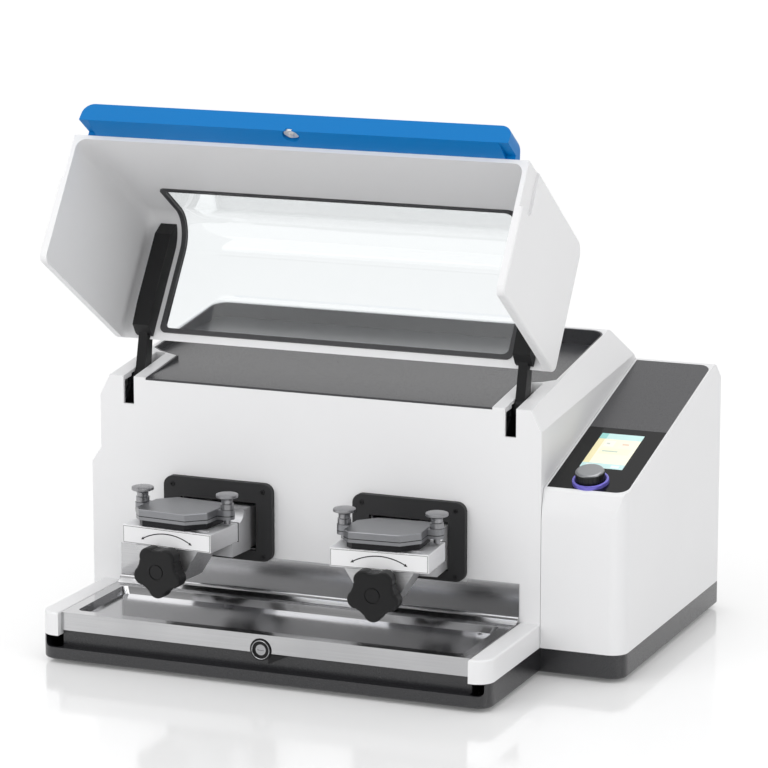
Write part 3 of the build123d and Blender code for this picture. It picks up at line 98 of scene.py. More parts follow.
def new_material(name):
    material = bpy.data.materials.new(name)
    material.use_nodes = True
    tree = material.node_tree
    tree.nodes.clear()
    place = wire(tree, "ShaderNodeTexCoord").outputs["Object"]
    return material, tree, place


def close(tree, shader):
    wire(tree, "ShaderNodeOutputMaterial", None, {"Surface": shader.outputs[0]})


print("helpers ready, white is", [round(c, 3) for c in linear("#ffffff")])

# %% [markdown]
# The big white shells are moulded polyurethane. The mould's face is lightly sparked, so the paint-like skin is
# silky, not glossy: a grain of about a millimetre breaks up the highlight, and slow, very faint changes of tone
# keep a large flat wall from looking computed. The real grain is finer than a pixel of a full view, so it is drawn
# a little coarser than it is.
#
# The same recipe, with other colours and grains, gives every other moulded part: grained black nylon on the arms,
# satin black phenolic on the knobs, sheet rubber round the ports.

# %% Moulded plastics and rubber
CLOUDS_PER_M = 6.0
RELIEF_DEPTH = 0.2 * MM


def sparked_plastic(name, colour, shade, roughness, grain_mm, depth, specular=0.5):
    material, tree, place = new_material(name)
    cloud = wire(tree, "ShaderNodeTexNoise", None, {"Vector": place, "Scale": CLOUDS_PER_M, "Detail": 3.0})
    tone = wire(tree, "ShaderNodeMix", {"data_type": "RGBA"},
                {"Factor": cloud.outputs["Fac"], "A": linear(colour), "B": linear(shade)})
    grain = wire(tree, "ShaderNodeTexNoise", None,
                 {"Vector": place, "Scale": 1 / (grain_mm * MM), "Detail": 2.0, "Roughness": 0.6})
    spread = wire(tree, "ShaderNodeMapRange", None, {"Value": grain.outputs["Fac"], "To Min": roughness - 0.05,
                                                      "To Max": roughness + 0.08})
    relief = wire(tree, "ShaderNodeBump", None, {"Height": grain.outputs["Fac"], "Strength": depth,
                                                 "Distance": RELIEF_DEPTH})
    skin = wire(tree, "ShaderNodeBsdfPrincipled", None,
                {"Base Color": tone.outputs["Result"], "Roughness": spread.outputs["Result"],
                 "Normal": relief.outputs["Normal"], "Specular IOR Level": specular})
    close(tree, skin)
    return material


white_polyurethane = sparked_plastic("white_moulded_polyurethane", "#e3e3e4", "#dfdfe0", 0.38, 0.9, 0.1, 0.4)
charcoal_abs = sparked_plastic("charcoal_satin_abs", "#37373a", "#333336", 0.27, 0.8, 0.2)
plinth_abs = sparked_plastic("anthracite_moulded_abs", "#1f1f22", "#1c1c1f", 0.26, 0.8, 0.15, 0.8)
blue_abs = sparked_plastic("blue_satin_abs", "#0070b6", "#006db0", 0.38, 0.7, 0.12, 0.15)
black_phenolic = sparked_plastic("black_moulded_phenolic", "#161617", "#121213", 0.4, 0.9, 0.35, 0.3)
black_nylon = sparked_plastic("black_glass_filled_nylon", "#1b1b1c", "#171718", 0.46, 0.7, 0.35, 0.3)
sheet_rubber = sparked_plastic("black_port_sheet_rubber", "#2e2e2f", "#2a2a2b", 0.55, 0.8, 0.25, 0.3)
nitrile_rubber = sparked_plastic("black_nitrile_rubber", "#29292a", "#252526", 0.5, 0.6, 0.25, 0.3)
window_seal = sparked_plastic("grey_window_seal_rubber", "#3f3f41", "#39393b", 0.4, 0.8, 0.2, 0.5)
label_foil = sparked_plastic("satin_label_foil", "#e3e3e4", "#dededf", 0.35, 0.9, 0.05, 0.3)
circuit_laminate = sparked_plastic("green_circuit_laminate", "#1f6a3a", "#1a5a31", 0.35, 1.2, 0.2)
print("plastics:", len(bpy.data.materials))

# %% [markdown]
# The drip tray is rolled stainless steel with a brushed face. Brushing leaves long, thin scratches in one
# direction, here along the tray. A noise that is stretched more than a hundred times along X draws them: its three
# scales say how many streaks there are in a metre along each axis. It drives both the roughness and a very shallow
# bump, so highlights smear across the brushing as they do on the real sheet. A slow cloud under it stands for the
# wiping and handling that a used tray shows.
#
# The other metals differ in the direction and fineness of their marks: end-milled aluminium, blasted castings,
# ground steel, and polished screws with almost none.

# %% Brushed and machined metals
HANDLING_PER_M = 11.0


def brushed_metal(name, colour, shade, roughness, stretch, strength, anisotropic=0.0, play=0.05):
    material, tree, place = new_material(name)
    drawn = wire(tree, "ShaderNodeMapping", None, {"Vector": place, "Scale": stretch})
    streak = wire(tree, "ShaderNodeTexNoise", None, {"Vector": drawn.outputs["Vector"], "Scale": 1.0, "Detail": 4.0})
    cloud = wire(tree, "ShaderNodeTexNoise", None, {"Vector": place, "Scale": HANDLING_PER_M, "Detail": 2.0})
    mixed = wire(tree, "ShaderNodeMix", {"data_type": "FLOAT"},
                 {"Factor": 0.45, "A": streak.outputs["Fac"], "B": cloud.outputs["Fac"]})
    tone = wire(tree, "ShaderNodeMix", {"data_type": "RGBA"},
                {"Factor": mixed.outputs["Result"], "A": linear(colour), "B": linear(shade)})
    spread = wire(tree, "ShaderNodeMapRange", None, {"Value": mixed.outputs["Result"], "To Min": roughness - play,
                                                      "To Max": roughness + play})
    relief = wire(tree, "ShaderNodeBump", None, {"Height": streak.outputs["Fac"], "Strength": strength,
                                                 "Distance": RELIEF_DEPTH})
    skin = wire(tree, "ShaderNodeBsdfPrincipled", None,
                {"Base Color": tone.outputs["Result"], "Metallic": 1.0, "Roughness": spread.outputs["Result"],
                 "Normal": relief.outputs["Normal"], "Anisotropic": anisotropic})
    close(tree, skin)
    return material


brushed_stainless = brushed_metal("brushed_stainless_sheet", "#dadadb", "#acacae", 0.14, (9, 1300, 1300), 0.06, 0.4)
milled_aluminium = brushed_metal("milled_aluminium", "#f2f2f3", "#e4e4e6", 0.55, (1400, 60, 1400), 0.12)
folded_stainless = brushed_metal("folded_stainless", "#f4f4f4", "#b4b4b7", 0.45, (30, 320, 320), 0.3)
cast_aluminium = brushed_metal("bead_blasted_aluminium", "#c6c7ca", "#b4b5b9", 0.5, (600, 600, 600), 0.25)
ground_steel = brushed_metal("ground_tool_steel", "#98999b", "#88898c", 0.3, (80, 900, 900), 0.12)
knurled_steel = brushed_metal("knurled_screw_steel", "#a3a3a5", "#8e8e91", 0.28, (700, 700, 700), 0.3)
polished_steel = brushed_metal("polished_stainless_steel", "#b9b9bb", "#a6a6a8", 0.2, (500, 500, 500), 0.04)
polished_chrome = brushed_metal("polished_chrome", "#dddddd", "#cfcfcf", 0.12, (400, 400, 400), 0.03)
cast_frame = brushed_metal("phosphated_cast_iron", "#55575a", "#3f4043", 0.55, (300, 300, 300), 0.4)
print("plastics and metals:", len(bpy.data.materials))

# %% [markdown]
# A jar is ground from tool steel. Its lowest eight millimetres are coloured dark, and a hairline seam shows between
# the body and the lid. Both follow the height, so one material compares Z with the heights at which the tone
# changes.

# %% Jar steel
JAR_FOOT = 8 * MM
SEAM_ABOVE = 0.4 * MM
SEAM_HALF = 0.5 * MM


def jar_steel(name, dark_below, seam):
    material, tree, place = new_material(name)
    drawn = wire(tree, "ShaderNodeMapping", None, {"Vector": place, "Scale": (90, 1100, 1100)})
    streak = wire(tree, "ShaderNodeTexNoise", None, {"Vector": drawn.outputs["Vector"], "Scale": 1.0, "Detail": 4.0})
    tone = wire(tree, "ShaderNodeMix", {"data_type": "RGBA"},
                {"Factor": streak.outputs["Fac"], "A": linear("#96979a"), "B": linear("#828386")})
    height = wire(tree, "ShaderNodeSeparateXYZ", None, {0: place}).outputs["Z"]
    # everything below the foot line is coloured dark
    foot = wire(tree, "ShaderNodeMath", {"operation": "LESS_THAN"}, {0: height, 1: dark_below})
    line = wire(tree, "ShaderNodeMath", {"operation": "COMPARE"}, {0: height, 1: seam, 2: SEAM_HALF})
    either = wire(tree, "ShaderNodeMath", {"operation": "MAXIMUM"}, {0: foot.outputs[0], 1: line.outputs[0]})
    shade = wire(tree, "ShaderNodeMix", {"data_type": "RGBA"},
                 {"Factor": either.outputs[0], "A": tone.outputs["Result"], "B": linear("#2c2c2e")})
    relief = wire(tree, "ShaderNodeBump", None, {"Height": streak.outputs["Fac"], "Strength": 0.12,
                                                 "Distance": RELIEF_DEPTH})
    skin = wire(tree, "ShaderNodeBsdfPrincipled", None,
                {"Base Color": shade.outputs["Result"], "Metallic": 0.9, "Roughness": 0.34,
                 "Normal": relief.outputs["Normal"]})
    close(tree, skin)
    return material


foot_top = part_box("left_jar_body")[0].z + JAR_FOOT
seam_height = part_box("left_jar_lid")[0].z + SEAM_ABOVE
ground_jar = jar_steel("ground_jar_steel", foot_top, seam_height)
print("jar foot below", round(foot_top / MM, 1), "mm, seam at", round(seam_height / MM, 1), "mm")

# %% [markdown]
# The window is a bent polycarbonate pane, clear with a trace of cool tint, and the cover round the display is black
# acrylic with a polished face. Both are smooth, so what shows is mostly what they reflect. A very slow, shallow
# ripple bends those reflections a little, as the pull of forming does on a real sheet. The colour is the same all
# over, so it is set on the shader's own socket.

# %% Clear and glossy plastics
WAVES_PER_M = 9.0


def polished_sheet(name, colour, roughness, ior, clear, ripple, specular):
    material, tree, place = new_material(name)
    wave = wire(tree, "ShaderNodeTexNoise", None, {"Vector": place, "Scale": WAVES_PER_M, "Detail": 1.0})
    relief = wire(tree, "ShaderNodeBump", None, {"Height": wave.outputs["Fac"], "Strength": ripple,
                                                 "Distance": 1 * MM})
    skin = wire(tree, "ShaderNodeBsdfPrincipled", None,
                {"Base Color": linear(colour), "Roughness": roughness, "IOR": ior, "Transmission Weight": clear,
                 "Specular IOR Level": specular, "Normal": relief.outputs["Normal"]})
    close(tree, skin)
    return material


polycarbonate = polished_sheet("clear_polycarbonate", "#f7fafb", 0.02, 1.58, 1.0, 0.02, 0.15)
acrylic = polished_sheet("black_polished_acrylic", "#0e0e0f", 0.06, 1.49, 0.0, 0.03, 0.15)
print("smooth sheets:", polycarbonate.name, acrylic.name)

# %% [markdown]
# The display is lit from behind. Its picture is generic: a cream field between a pale cyan title bar and foot bar,
# with a few plain fields. The bars are drawn across the slope of the column, so the material turns Object
# coordinates until one axis runs up the screen, and compares that with real distances. The fields are listed in
# millimetres from the middle of the screen: left, right, bottom, top and colour.

# %% Lit display
TITLE_BAR = 14
FOOT_BAR = 12
screen_low, screen_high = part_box("display_screen")
screen_mid = (screen_low + screen_high) / 2
screen_slope = math.atan2(screen_high.z - screen_low.z, screen_high.y - screen_low.y)
screen_half_w = (screen_high.x - screen_low.x) / 2
screen_half_l = math.hypot(screen_high.y - screen_low.y, screen_high.z - screen_low.z) / 2


def inside_box(tree, axes, x0, x1, y0, y1):
    inside = 1.0
    for axis, low, high in (("X", x0, x1), ("Y", y0, y1)):
        near = wire(tree, "ShaderNodeMath", {"operation": "COMPARE"},
                    {0: axes.outputs[axis], 1: (low + high) / 2, 2: (high - low) / 2})
        inside = wire(tree, "ShaderNodeMath", {"operation": "MULTIPLY"}, {0: inside, 1: near.outputs[0]}).outputs[0]
    return inside


def lit_screen():
    material, tree, place = new_material("lit_display")
    flat = wire(tree, "ShaderNodeMapping", {"vector_type": "TEXTURE"},
                {"Vector": place, "Location": screen_mid, "Rotation": (screen_slope, 0, 0)})
    axes = wire(tree, "ShaderNodeSeparateXYZ", None, {0: flat.outputs["Vector"]})
    w, h = screen_half_w / MM, screen_half_l / MM
    title, foot = h - TITLE_BAR, -h + FOOT_BAR
    fields = [
        (-w, w, title, h, "#c3e6e3"), (-w, -w + 9, title, h, "#8fd0ca"),
        (-w, w, -h, foot, "#c3e3e2"), (-w, -w + 8, foot, title, "#ece3b4"),
        (-w + 11, -3, h - 33, h - 18, "#efeee4"), (3, w - 5, h - 33, h - 18, "#f3eadb"),
        (-w + 11, w - 5, h - 52, h - 37, "#f0f0d2"), (-w + 14, -9, h - 27, h - 24, "#c9cdc0"),
        (7, 15, h - 27, h - 24, "#dfc3a4"), (-w + 14, w - 20, h - 46, h - 43.5, "#b4c3ba"),
        (w - 16, w - 6, -h + 3, -h + 9, "#e4f4f4"), (-w + 6, -w + 16, -h + 3, -h + 9, "#e4f4f4"),
    ]
    colour = linear("#f5f1da")
    for x0, x1, y0, y1, code in fields:
        inside = inside_box(tree, axes, x0 * MM, x1 * MM, y0 * MM, y1 * MM)
        colour = wire(tree, "ShaderNodeMix", {"data_type": "RGBA"},
                      {"Factor": inside, "A": colour, "B": linear(code)}).outputs["Result"]
    skin = wire(tree, "ShaderNodeBsdfPrincipled", None,
                {"Base Color": colour, "Roughness": 0.12, "Emission Color": colour, "Emission Strength": 0.18})
    close(tree, skin)
    return material


display = lit_screen()
print("screen:", round(2 * screen_half_w / MM, 1), "x", round(2 * screen_half_l / MM, 1), "mm")

# %% [markdown]
# The ring round the dial is lacquered violet: a glossy, slightly metallic coat with a faint glow, which is painted
# sheen, for the ring is no lamp. The dial itself is black with a turned and lacquered cap, so its material looks
# along the dial's own axis and changes finish above the edge of the cap.

# %% Violet ring and dial
CAP_EDGE = (2.2 * MM, 1.6 * MM)
TURNING_PITCH = 0.6 * MM
dial_axis = -Vector(joints["encoder_push"]["axis"])
dial_turn = Vector((0, 0, 1)).rotation_difference(dial_axis).to_euler()
dial_low, dial_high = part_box("control_knob")
dial_mid = (dial_low + dial_high) / 2
dial_points = [vertex.co - dial_mid for vertex in parts["control_knob"].data.vertices]
dial_top = max(point.dot(dial_axis) for point in dial_points)


def violet_ring_with_painted_glow():
    material, tree, place = new_material("violet_ring_painted_glow")
    cloud = wire(tree, "ShaderNodeTexNoise", None, {"Vector": place, "Scale": 90.0, "Detail": 1.0})
    tone = wire(tree, "ShaderNodeMix", {"data_type": "RGBA"},
                {"Factor": cloud.outputs["Fac"], "A": linear("#8079cf"), "B": linear("#5d54b4")})
    # the faint emission is painted sheen; the ring is no lamp
    skin = wire(tree, "ShaderNodeBsdfPrincipled", None,
                {"Base Color": tone.outputs["Result"], "Metallic": 0.55, "Roughness": 0.22,
                 "Emission Color": tone.outputs["Result"], "Emission Strength": 0.12})
    close(tree, skin)
    return material


def turned_dial():
    material, tree, place = new_material("lacquered_turned_dial")
    local = wire(tree, "ShaderNodeMapping", {"vector_type": "TEXTURE"},
                 {"Vector": place, "Location": dial_mid, "Rotation": dial_turn})
    axes = wire(tree, "ShaderNodeSeparateXYZ", None, {0: local.outputs["Vector"]})
    on_cap = wire(tree, "ShaderNodeMapRange", None,
                  {"Value": axes.outputs["Z"], "From Min": dial_top - CAP_EDGE[0],
                   "From Max": dial_top - CAP_EDGE[1]})
    radius = wire(tree, "ShaderNodeVectorMath", {"operation": "LENGTH"}, {0: local.outputs["Vector"]})
    phase = wire(tree, "ShaderNodeMath", {"operation": "MULTIPLY"},
                 {0: radius.outputs["Value"], 1: 2 * math.pi / TURNING_PITCH})
    turning = wire(tree, "ShaderNodeMath", {"operation": "SINE"}, {0: phase.outputs[0]})
    cap = wire(tree, "ShaderNodeMix", {"data_type": "RGBA"},
               {"Factor": turning.outputs[0], "A": linear("#9a9b9d"), "B": linear("#8d8e90")})
    tone = wire(tree, "ShaderNodeMix", {"data_type": "RGBA"},
                {"Factor": on_cap.outputs["Result"], "A": linear("#141415"), "B": cap.outputs["Result"]})
    relief = wire(tree, "ShaderNodeBump", None, {"Height": turning.outputs[0], "Strength": 0.04,
                                                 "Distance": 0.1 * MM})
    skin = wire(tree, "ShaderNodeBsdfPrincipled", None,
                {"Base Color": tone.outputs["Result"], "Metallic": on_cap.outputs["Result"], "Roughness": 0.3,
                 "Normal": relief.outputs["Normal"], "Specular IOR Level": 0.35})
    close(tree, skin)
    return material


violet_ring_finish = violet_ring_with_painted_glow()
dial_finish = turned_dial()
print("dial cap at", round(dial_top / MM, 1), "mm above the dial's middle")

# %% [markdown]
# Every part now gets the finish of its real material. The solids arrive as loose triangles, so a curved face would
# look faceted. A small Geometry Nodes tree welds them and marks only edges sharper than an angle as sharp, which
# lets the round faces shade smoothly and keeps the flat ones crisp.

# %% Weld and shade the parts
WELD_WITHIN = 0.01 * MM


def new_geometry_tree(name, sizes):
    tree = bpy.data.node_groups.new(name, "GeometryNodeTree")
    tree.interface.new_socket("Geometry", in_out="INPUT", socket_type="NodeSocketGeometry")
    for label, value in sizes.items():
        kind = {float: "Float", int: "Int", tuple: "Vector"}.get(type(value), "Material")
        socket = tree.interface.new_socket(label, in_out="INPUT", socket_type=f"NodeSocket{kind}")
        socket.default_value = value
    tree.interface.new_socket("Geometry", in_out="OUTPUT", socket_type="NodeSocketGeometry")
    given = wire(tree, "NodeGroupInput")
    return tree, given.outputs


def shaded(tree, geometry, angle_limit):
    welded = wire(tree, "GeometryNodeMergeByDistance", None, {"Geometry": geometry, "Distance": WELD_WITHIN})
    angle = wire(tree, "GeometryNodeInputMeshEdgeAngle")
    sharp = wire(tree, "FunctionNodeCompare", {"data_type": "FLOAT", "operation": "GREATER_THAN"},
                 {"A": angle.outputs["Unsigned Angle"], "B": angle_limit})
    smooth = wire(tree, "GeometryNodeSetShadeSmooth", {"domain": "FACE"},
                  {"Geometry": welded.outputs["Geometry"], "Shade Smooth": True})
    return wire(tree, "GeometryNodeSetShadeSmooth", {"domain": "EDGE"},
                {"Geometry": smooth.outputs["Geometry"], "Selection": sharp.outputs["Result"],
                 "Shade Smooth": False}).outputs["Geometry"]


weld_and_shade, given = new_geometry_tree("weld_and_shade", {"Sharp Above": 0.45})
wire(weld_and_shade, "NodeGroupOutput", None,
     {"Geometry": shaded(weld_and_shade, given["Geometry"], given["Sharp Above"])})
finishes = {
    "base_plinth": plinth_abs, "rubber_feet": nitrile_rubber, "chassis_plate": cast_frame,
    "main_housing": white_polyurethane, "column_housing": white_polyurethane, "top_inset_panel": charcoal_abs,
    "column_panel": charcoal_abs, "display_glass": acrylic, "display_screen": display,
    "encoder_light_ring": violet_ring_finish, "encoder_plunger": polished_chrome, "control_knob": dial_finish,
    "drip_tray": brushed_stainless, "lock_housing": black_nylon, "lock_plunger": polished_steel,
    "lid_shell": white_polyurethane, "window_gasket": window_seal, "window_pane": polycarbonate,
    "left_hinge_arm": black_nylon, "right_hinge_arm": black_nylon, "hinge_pins": polished_chrome,
    "hinge_brackets": cast_frame, "handle_strip": blue_abs, "lid_striker": milled_aluminium,
    "left_seal_plate": sheet_rubber, "right_seal_plate": sheet_rubber, "housing_screws": black_nylon,
    "drive_frame": cast_frame, "shaft_bearings": polished_chrome, "crankshaft": ground_steel,
    "crank_pulley": cast_aluminium, "motor_pulley": cast_aluminium, "drive_belt": nitrile_rubber,
    "motor_housing": cast_aluminium, "control_board": circuit_laminate, "rear_panel": white_polyurethane,
    "fan_housing": black_nylon, "fan_rotor": black_nylon, "power_inlet": black_nylon, "rocker_switch": black_nylon,
}
for side in ("left", "right"):
    finishes.update({
        f"{side}_swing_arm": milled_aluminium, f"{side}_clamp_carriage": milled_aluminium,
        f"{side}_clamp_bracket": folded_stainless, f"{side}_star_knob": black_phenolic,
        f"{side}_clamp_spindle": polished_steel, f"{side}_jar_body": ground_jar,
        f"{side}_jar_lid": ground_jar, f"{side}_thumb_screw_a": polished_steel,
        f"{side}_thumb_screw_b": polished_steel, f"{side}_conrod": milled_aluminium,
    })
for name, part in parts.items():
    part.data.materials.clear()
    part.data.materials.append(finishes[name])
    part.modifiers.new("weld_and_shade", "NODES").node_group = weld_and_shade
print("finished parts:", len(finishes))

# %% [markdown]
# Some small turned pieces deserve their real profile, which a plain solid only blocks in. A turned piece is a
# profile spun round an axis, so one function takes a list of radius and height pairs in millimetres, spins it, turns
# it to its axis and puts it in place. A radius of zero is a pole, where the ring is a single point. The normals are
# recalculated at the end, so the faces point outwards whichever way the profile runs.

# %% Turned pieces
TURN_STEPS = 48
SHARP_ABOVE = 0.5


def new_piece(name, mesh, body, slot, *replaced):
    piece = bpy.data.objects.new(name, mesh)
    bpy.context.scene.collection.objects.link(piece)
    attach(piece, body)
    if replaced:
        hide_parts(*replaced)


def turned_mesh(name, profile, place, axis, finish):
    work = bmesh.new()
    turns = [2 * math.pi * i / TURN_STEPS for i in range(TURN_STEPS)]
    rings = []
    for radius, height in profile:
        r, h = radius * MM, height * MM
        around = [(r * math.cos(a), r * math.sin(a), h) for a in turns] if r else [(0, 0, h)]
        rings.append([work.verts.new(point) for point in around])
    for low, high in zip(rings, rings[1:]):
        for i in range(TURN_STEPS):
            j = (i + 1) % TURN_STEPS
            corners = [low[i % len(low)], low[j % len(low)], high[j % len(high)], high[i % len(high)]]
            work.faces.new(list(dict.fromkeys(corners)))
    bmesh.ops.recalc_face_normals(work, faces=work.faces)
    turn = Vector((0, 0, 1)).rotation_difference(Vector(axis)).to_matrix().to_4x4()
    bmesh.ops.transform(work, matrix=Matrix.Translation(place) @ turn, verts=work.verts)
    for edge in work.edges:
        edge.smooth = len(edge.link_faces) < 2 or edge.calc_face_angle() < SHARP_ABOVE
    mesh = bpy.data.meshes.new(name)
    work.to_mesh(mesh)
    work.free()
    mesh.polygons.foreach_set("use_smooth", [True] * len(mesh.polygons))
    mesh.materials.append(finish)
    return mesh


print("turned pieces get", TURN_STEPS, "steps round")

# %% [markdown]
# The thumb screws that hold each jar's lid have a trumpet head: a slim neck that flares into a thin, domed rim.
# The profile is written from the seat of the head and from its top, so it fits a screw of any length. Each one rides
# on the screw's own body, so it turns with it.

# %% Trumpet thumb screws
SCREW_TALLER = 4.5
SCREW_HEAD = 15
SHANK_R = 4
NECK_SHARE = 0.56


def trumpet(low, high, radius):
    h = (high - low) / MM + SCREW_TALLER
    seat = h - SCREW_HEAD - SCREW_TALLER
    neck = NECK_SHARE * radius
    shank = [(0, 0), (SHANK_R - 0.4, 0), (SHANK_R, 0.5), (SHANK_R, seat)]
    collar = [(neck + 0.2, seat), (neck + 0.6, seat + 0.4), (neck + 0.6, seat + 6.6), (neck + 0.2, seat + 7)]
    flare = [(neck - 0.6, seat + 7.3), (neck - 0.6, h - 8.4), (neck, h - 7), (0.7 * radius, h - 5.8),
             (0.93 * radius, h - 4.8), (radius, h - 4.2)]
    dome = [(radius, h - 1.6), (0.97 * radius, h - 1), (0.9 * radius, h - 0.6), (0.5 * radius, h - 0.2), (0, h)]
    return shank + collar + flare + dome


for side in ("left", "right"):
    for label in ("a", "b"):
        node = f"{side}_thumb_screw_{label}"
        low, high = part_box(node)
        middle = (low + high) / 2
        profile = trumpet(low.z, high.z, (high.x - low.x) / 2 / MM)
        mesh = turned_mesh(f"{node}_trumpet", profile, (middle.x, middle.y, low.z), (0, 0, 1), knurled_steel)
        new_piece(f"{node}_trumpet", mesh, f"{side}_screw_{label}", "jar_steel", node)
        print(node, "is", round(profile[-1][1], 1), "mm long")

# %% [markdown]
# The lock in the tray's edge shows three rings: a black body, a thin bright ring pressed into it, and the polished
# button in the middle. The body and the button are solids already. The bright ring stands out in a view from the
# front, so it is turned here: a band with rounded edges, proud of the body's face and sunk a little into it.

# %% Lock ring
RING_IN, RING_OUT = 10.5, 11.6
RING_PROUD = 0.8
RING_ROUND = 0.3
lock_low, lock_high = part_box("lock_housing")
button_low, button_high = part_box("lock_plunger")
lock_middle = ((button_low.x + button_high.x) / 2, lock_low.y, (button_low.z + button_high.z) / 2)
ring_profile = [(RING_IN, -RING_PROUD), (RING_IN, RING_PROUD - RING_ROUND), (RING_IN + RING_ROUND, RING_PROUD),
                (RING_OUT - RING_ROUND, RING_PROUD), (RING_OUT, RING_PROUD - RING_ROUND), (RING_OUT, -RING_PROUD)]
lock_ring = turned_mesh("lock_bright_ring", ring_profile, lock_middle, (0, -1, 0), polished_steel)
new_piece("lock_bright_ring", lock_ring, "base", "polished")
print("lock:", round((lock_high.x - lock_low.x) / MM, 1), "mm wide, at", [round(v / MM, 1) for v in lock_middle])

# %% [markdown]
# Screws repeat, so Geometry Nodes place them. A mesh of loose points says where they sit. The tree builds one
# socket head: a disc is extruded, its top is drawn in for a small chamfer, drawn in again to the socket, and the
# points of that inner ring are moved onto a hexagon before the floor of the socket is pushed down. The tree then
# puts that head on every point, turns it to face out of its surface, and makes it real geometry.

# %% Socket screw tree
SCREW_SIDES = 24


def socket_screw_tree():
    tree, given = new_geometry_tree("socket_head_screws", {
        "Head Radius": 3 * MM, "Head Height": 1.5 * MM, "Chamfer": 0.4 * MM, "Socket": 1.4 * MM,
        "Depth": 1.1 * MM, "Turn": (0.0, 0.0, 0.0), "Finish": black_nylon})

    def math_node(operation, *values):
        return wire(tree, "ShaderNodeMath", {"operation": operation}, dict(enumerate(values))).outputs[0]

    def push(mesh, top, offset):
        return wire(tree, "GeometryNodeExtrudeMesh", {"mode": "FACES"},
                    {"Mesh": mesh, "Selection": top, "Offset Scale": offset, "Individual": False}).outputs

    disc = wire(tree, "GeometryNodeMeshCircle", {"fill_type": "NGON"},
                {"Vertices": SCREW_SIDES, "Radius": given["Head Radius"]})
    side = push(disc.outputs["Mesh"], True, math_node("SUBTRACT", given["Head Height"], given["Chamfer"]))
    edge = push(side["Mesh"], side["Top"], given["Chamfer"])
    drawn = wire(tree, "GeometryNodeScaleElements", {"domain": "FACE"}, {
        "Geometry": edge["Mesh"], "Selection": edge["Top"],
        "Scale": math_node("DIVIDE", math_node("SUBTRACT", given["Head Radius"], given["Chamfer"]),
                           given["Head Radius"])})
    rim = push(drawn.outputs["Geometry"], edge["Top"], 0.0)
    place = wire(tree, "ShaderNodeSeparateXYZ", None, {0: wire(tree, "GeometryNodeInputPosition").outputs[0]})
    around = math_node("ARCTAN2", place.outputs["Y"], place.outputs["X"])
    sixth = math.pi / 3
    within = math_node("SUBTRACT", math_node("FLOORED_MODULO", around, sixth), sixth / 2)
    reach = math_node("DIVIDE", given["Socket"], math_node("COSINE", within))
    corner = wire(tree, "ShaderNodeCombineXYZ", None, {
        "X": math_node("MULTIPLY", reach, math_node("COSINE", around)),
        "Y": math_node("MULTIPLY", reach, math_node("SINE", around)), "Z": place.outputs["Z"]})
    hexagon = wire(tree, "GeometryNodeSetPosition", None, {
        "Geometry": rim["Mesh"], "Selection": rim["Top"], "Position": corner.outputs[0]})
    socket = push(hexagon.outputs["Geometry"], rim["Top"], math_node("MULTIPLY", given["Depth"], -1.0))
    placed = wire(tree, "GeometryNodeInstanceOnPoints", None, {
        "Points": given["Geometry"], "Instance": shaded(tree, socket["Mesh"], SHARP_ABOVE),
        "Rotation": given["Turn"]})
    real = wire(tree, "GeometryNodeRealizeInstances", None, {"Geometry": placed.outputs["Instances"]})
    dressed = wire(tree, "GeometryNodeSetMaterial", None, {
        "Geometry": real.outputs["Geometry"], "Material": given["Finish"]})
    wire(tree, "NodeGroupOutput", None, {"Geometry": dressed.outputs["Geometry"]})
    return tree


socket_screws = socket_screw_tree()
print("screw tree nodes:", len(socket_screws.nodes))

# %% [markdown]
# A tree only makes shapes when it runs on an object. This helper gives it one: it makes a mesh of the points, adds
# the tree as a modifier, sets the modifier's inputs by the identifiers of the sockets, and takes the evaluated
# result as a plain mesh, which is what the exported model needs. The holder goes away with its modifier.

# %% Run a tree into a plain mesh
def grown_mesh(name, tree, points, values):
    seed = bpy.data.meshes.new(f"{name}_points")
    seed.from_pydata(points, [], [])
    holder = bpy.data.objects.new(f"{name}_points", seed)
    bpy.context.scene.collection.objects.link(holder)
    modifier = holder.modifiers.new("grow", "NODES")
    modifier.node_group = tree
    sockets = {item.name: item.identifier for item in tree.interface.items_tree if item.in_out == "INPUT"}
    for label, value in values.items():
        modifier[sockets[label]] = value
    bpy.context.view_layer.update()
    shown = holder.evaluated_get(bpy.context.evaluated_depsgraph_get())
    mesh = bpy.data.meshes.new_from_object(shown)
    mesh.name = name
    bpy.data.objects.remove(holder)
    return mesh


print("helper ready for", socket_screws.name)

# %% [markdown]
# Four black socket screws hold each rubber plate round its port, and eight hold the rear panel. Their places come
# from the boxes of the parts that they hold, a fixed distance in from the corners. On the port plates the lower
# screws sit nearer to the edge, because the plate's lower rim is narrower.

# %% Screws in the port plates and the rear panel
FACING_FRONT = (math.pi / 2, 0, 0)
FACING_REAR = (-math.pi / 2, 0, 0)
PORT_SCREW_IN = 12 * MM
PORT_SCREW_UP = 6 * MM
PORT_SCREW_DOWN = 10 * MM
REAR_SCREW_IN = 12 * MM
REAR_HEAD = 1.2 * MM
screw_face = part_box("housing_screws")[0].y
port_points = []
for side in ("left", "right"):
    low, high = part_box(f"{side}_seal_plate")
    for x in (low.x + PORT_SCREW_IN, high.x - PORT_SCREW_IN):
        for z in (low.z + PORT_SCREW_UP, high.z - PORT_SCREW_DOWN):
            port_points.append((x, low.y, z))
screws = grown_mesh("port_plate_screws", socket_screws, port_points,
                    {"Turn": FACING_FRONT, "Head Height": low.y - screw_face, "Finish": black_nylon})
new_piece("port_plate_screws", screws, "base", "black_plastic", "housing_screws")
print("port plate screws:", len(port_points))

low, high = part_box("rear_panel")
middle = (low + high) / 2
left_x, right_x = low.x + REAR_SCREW_IN, high.x - REAR_SCREW_IN
rear_points = [(x, high.y, z) for x in (left_x, middle.x, right_x)
               for z in (low.z + REAR_SCREW_IN, high.z - REAR_SCREW_IN)]
rear_points += [(x, high.y, middle.z) for x in (left_x, right_x)]
screws = grown_mesh("rear_panel_screws", socket_screws, rear_points,
                    {"Turn": FACING_REAR, "Head Height": REAR_HEAD, "Finish": black_nylon})
new_piece("rear_panel_screws", screws, "base", "black_plastic")
print("rear panel screws:", len(rear_points))

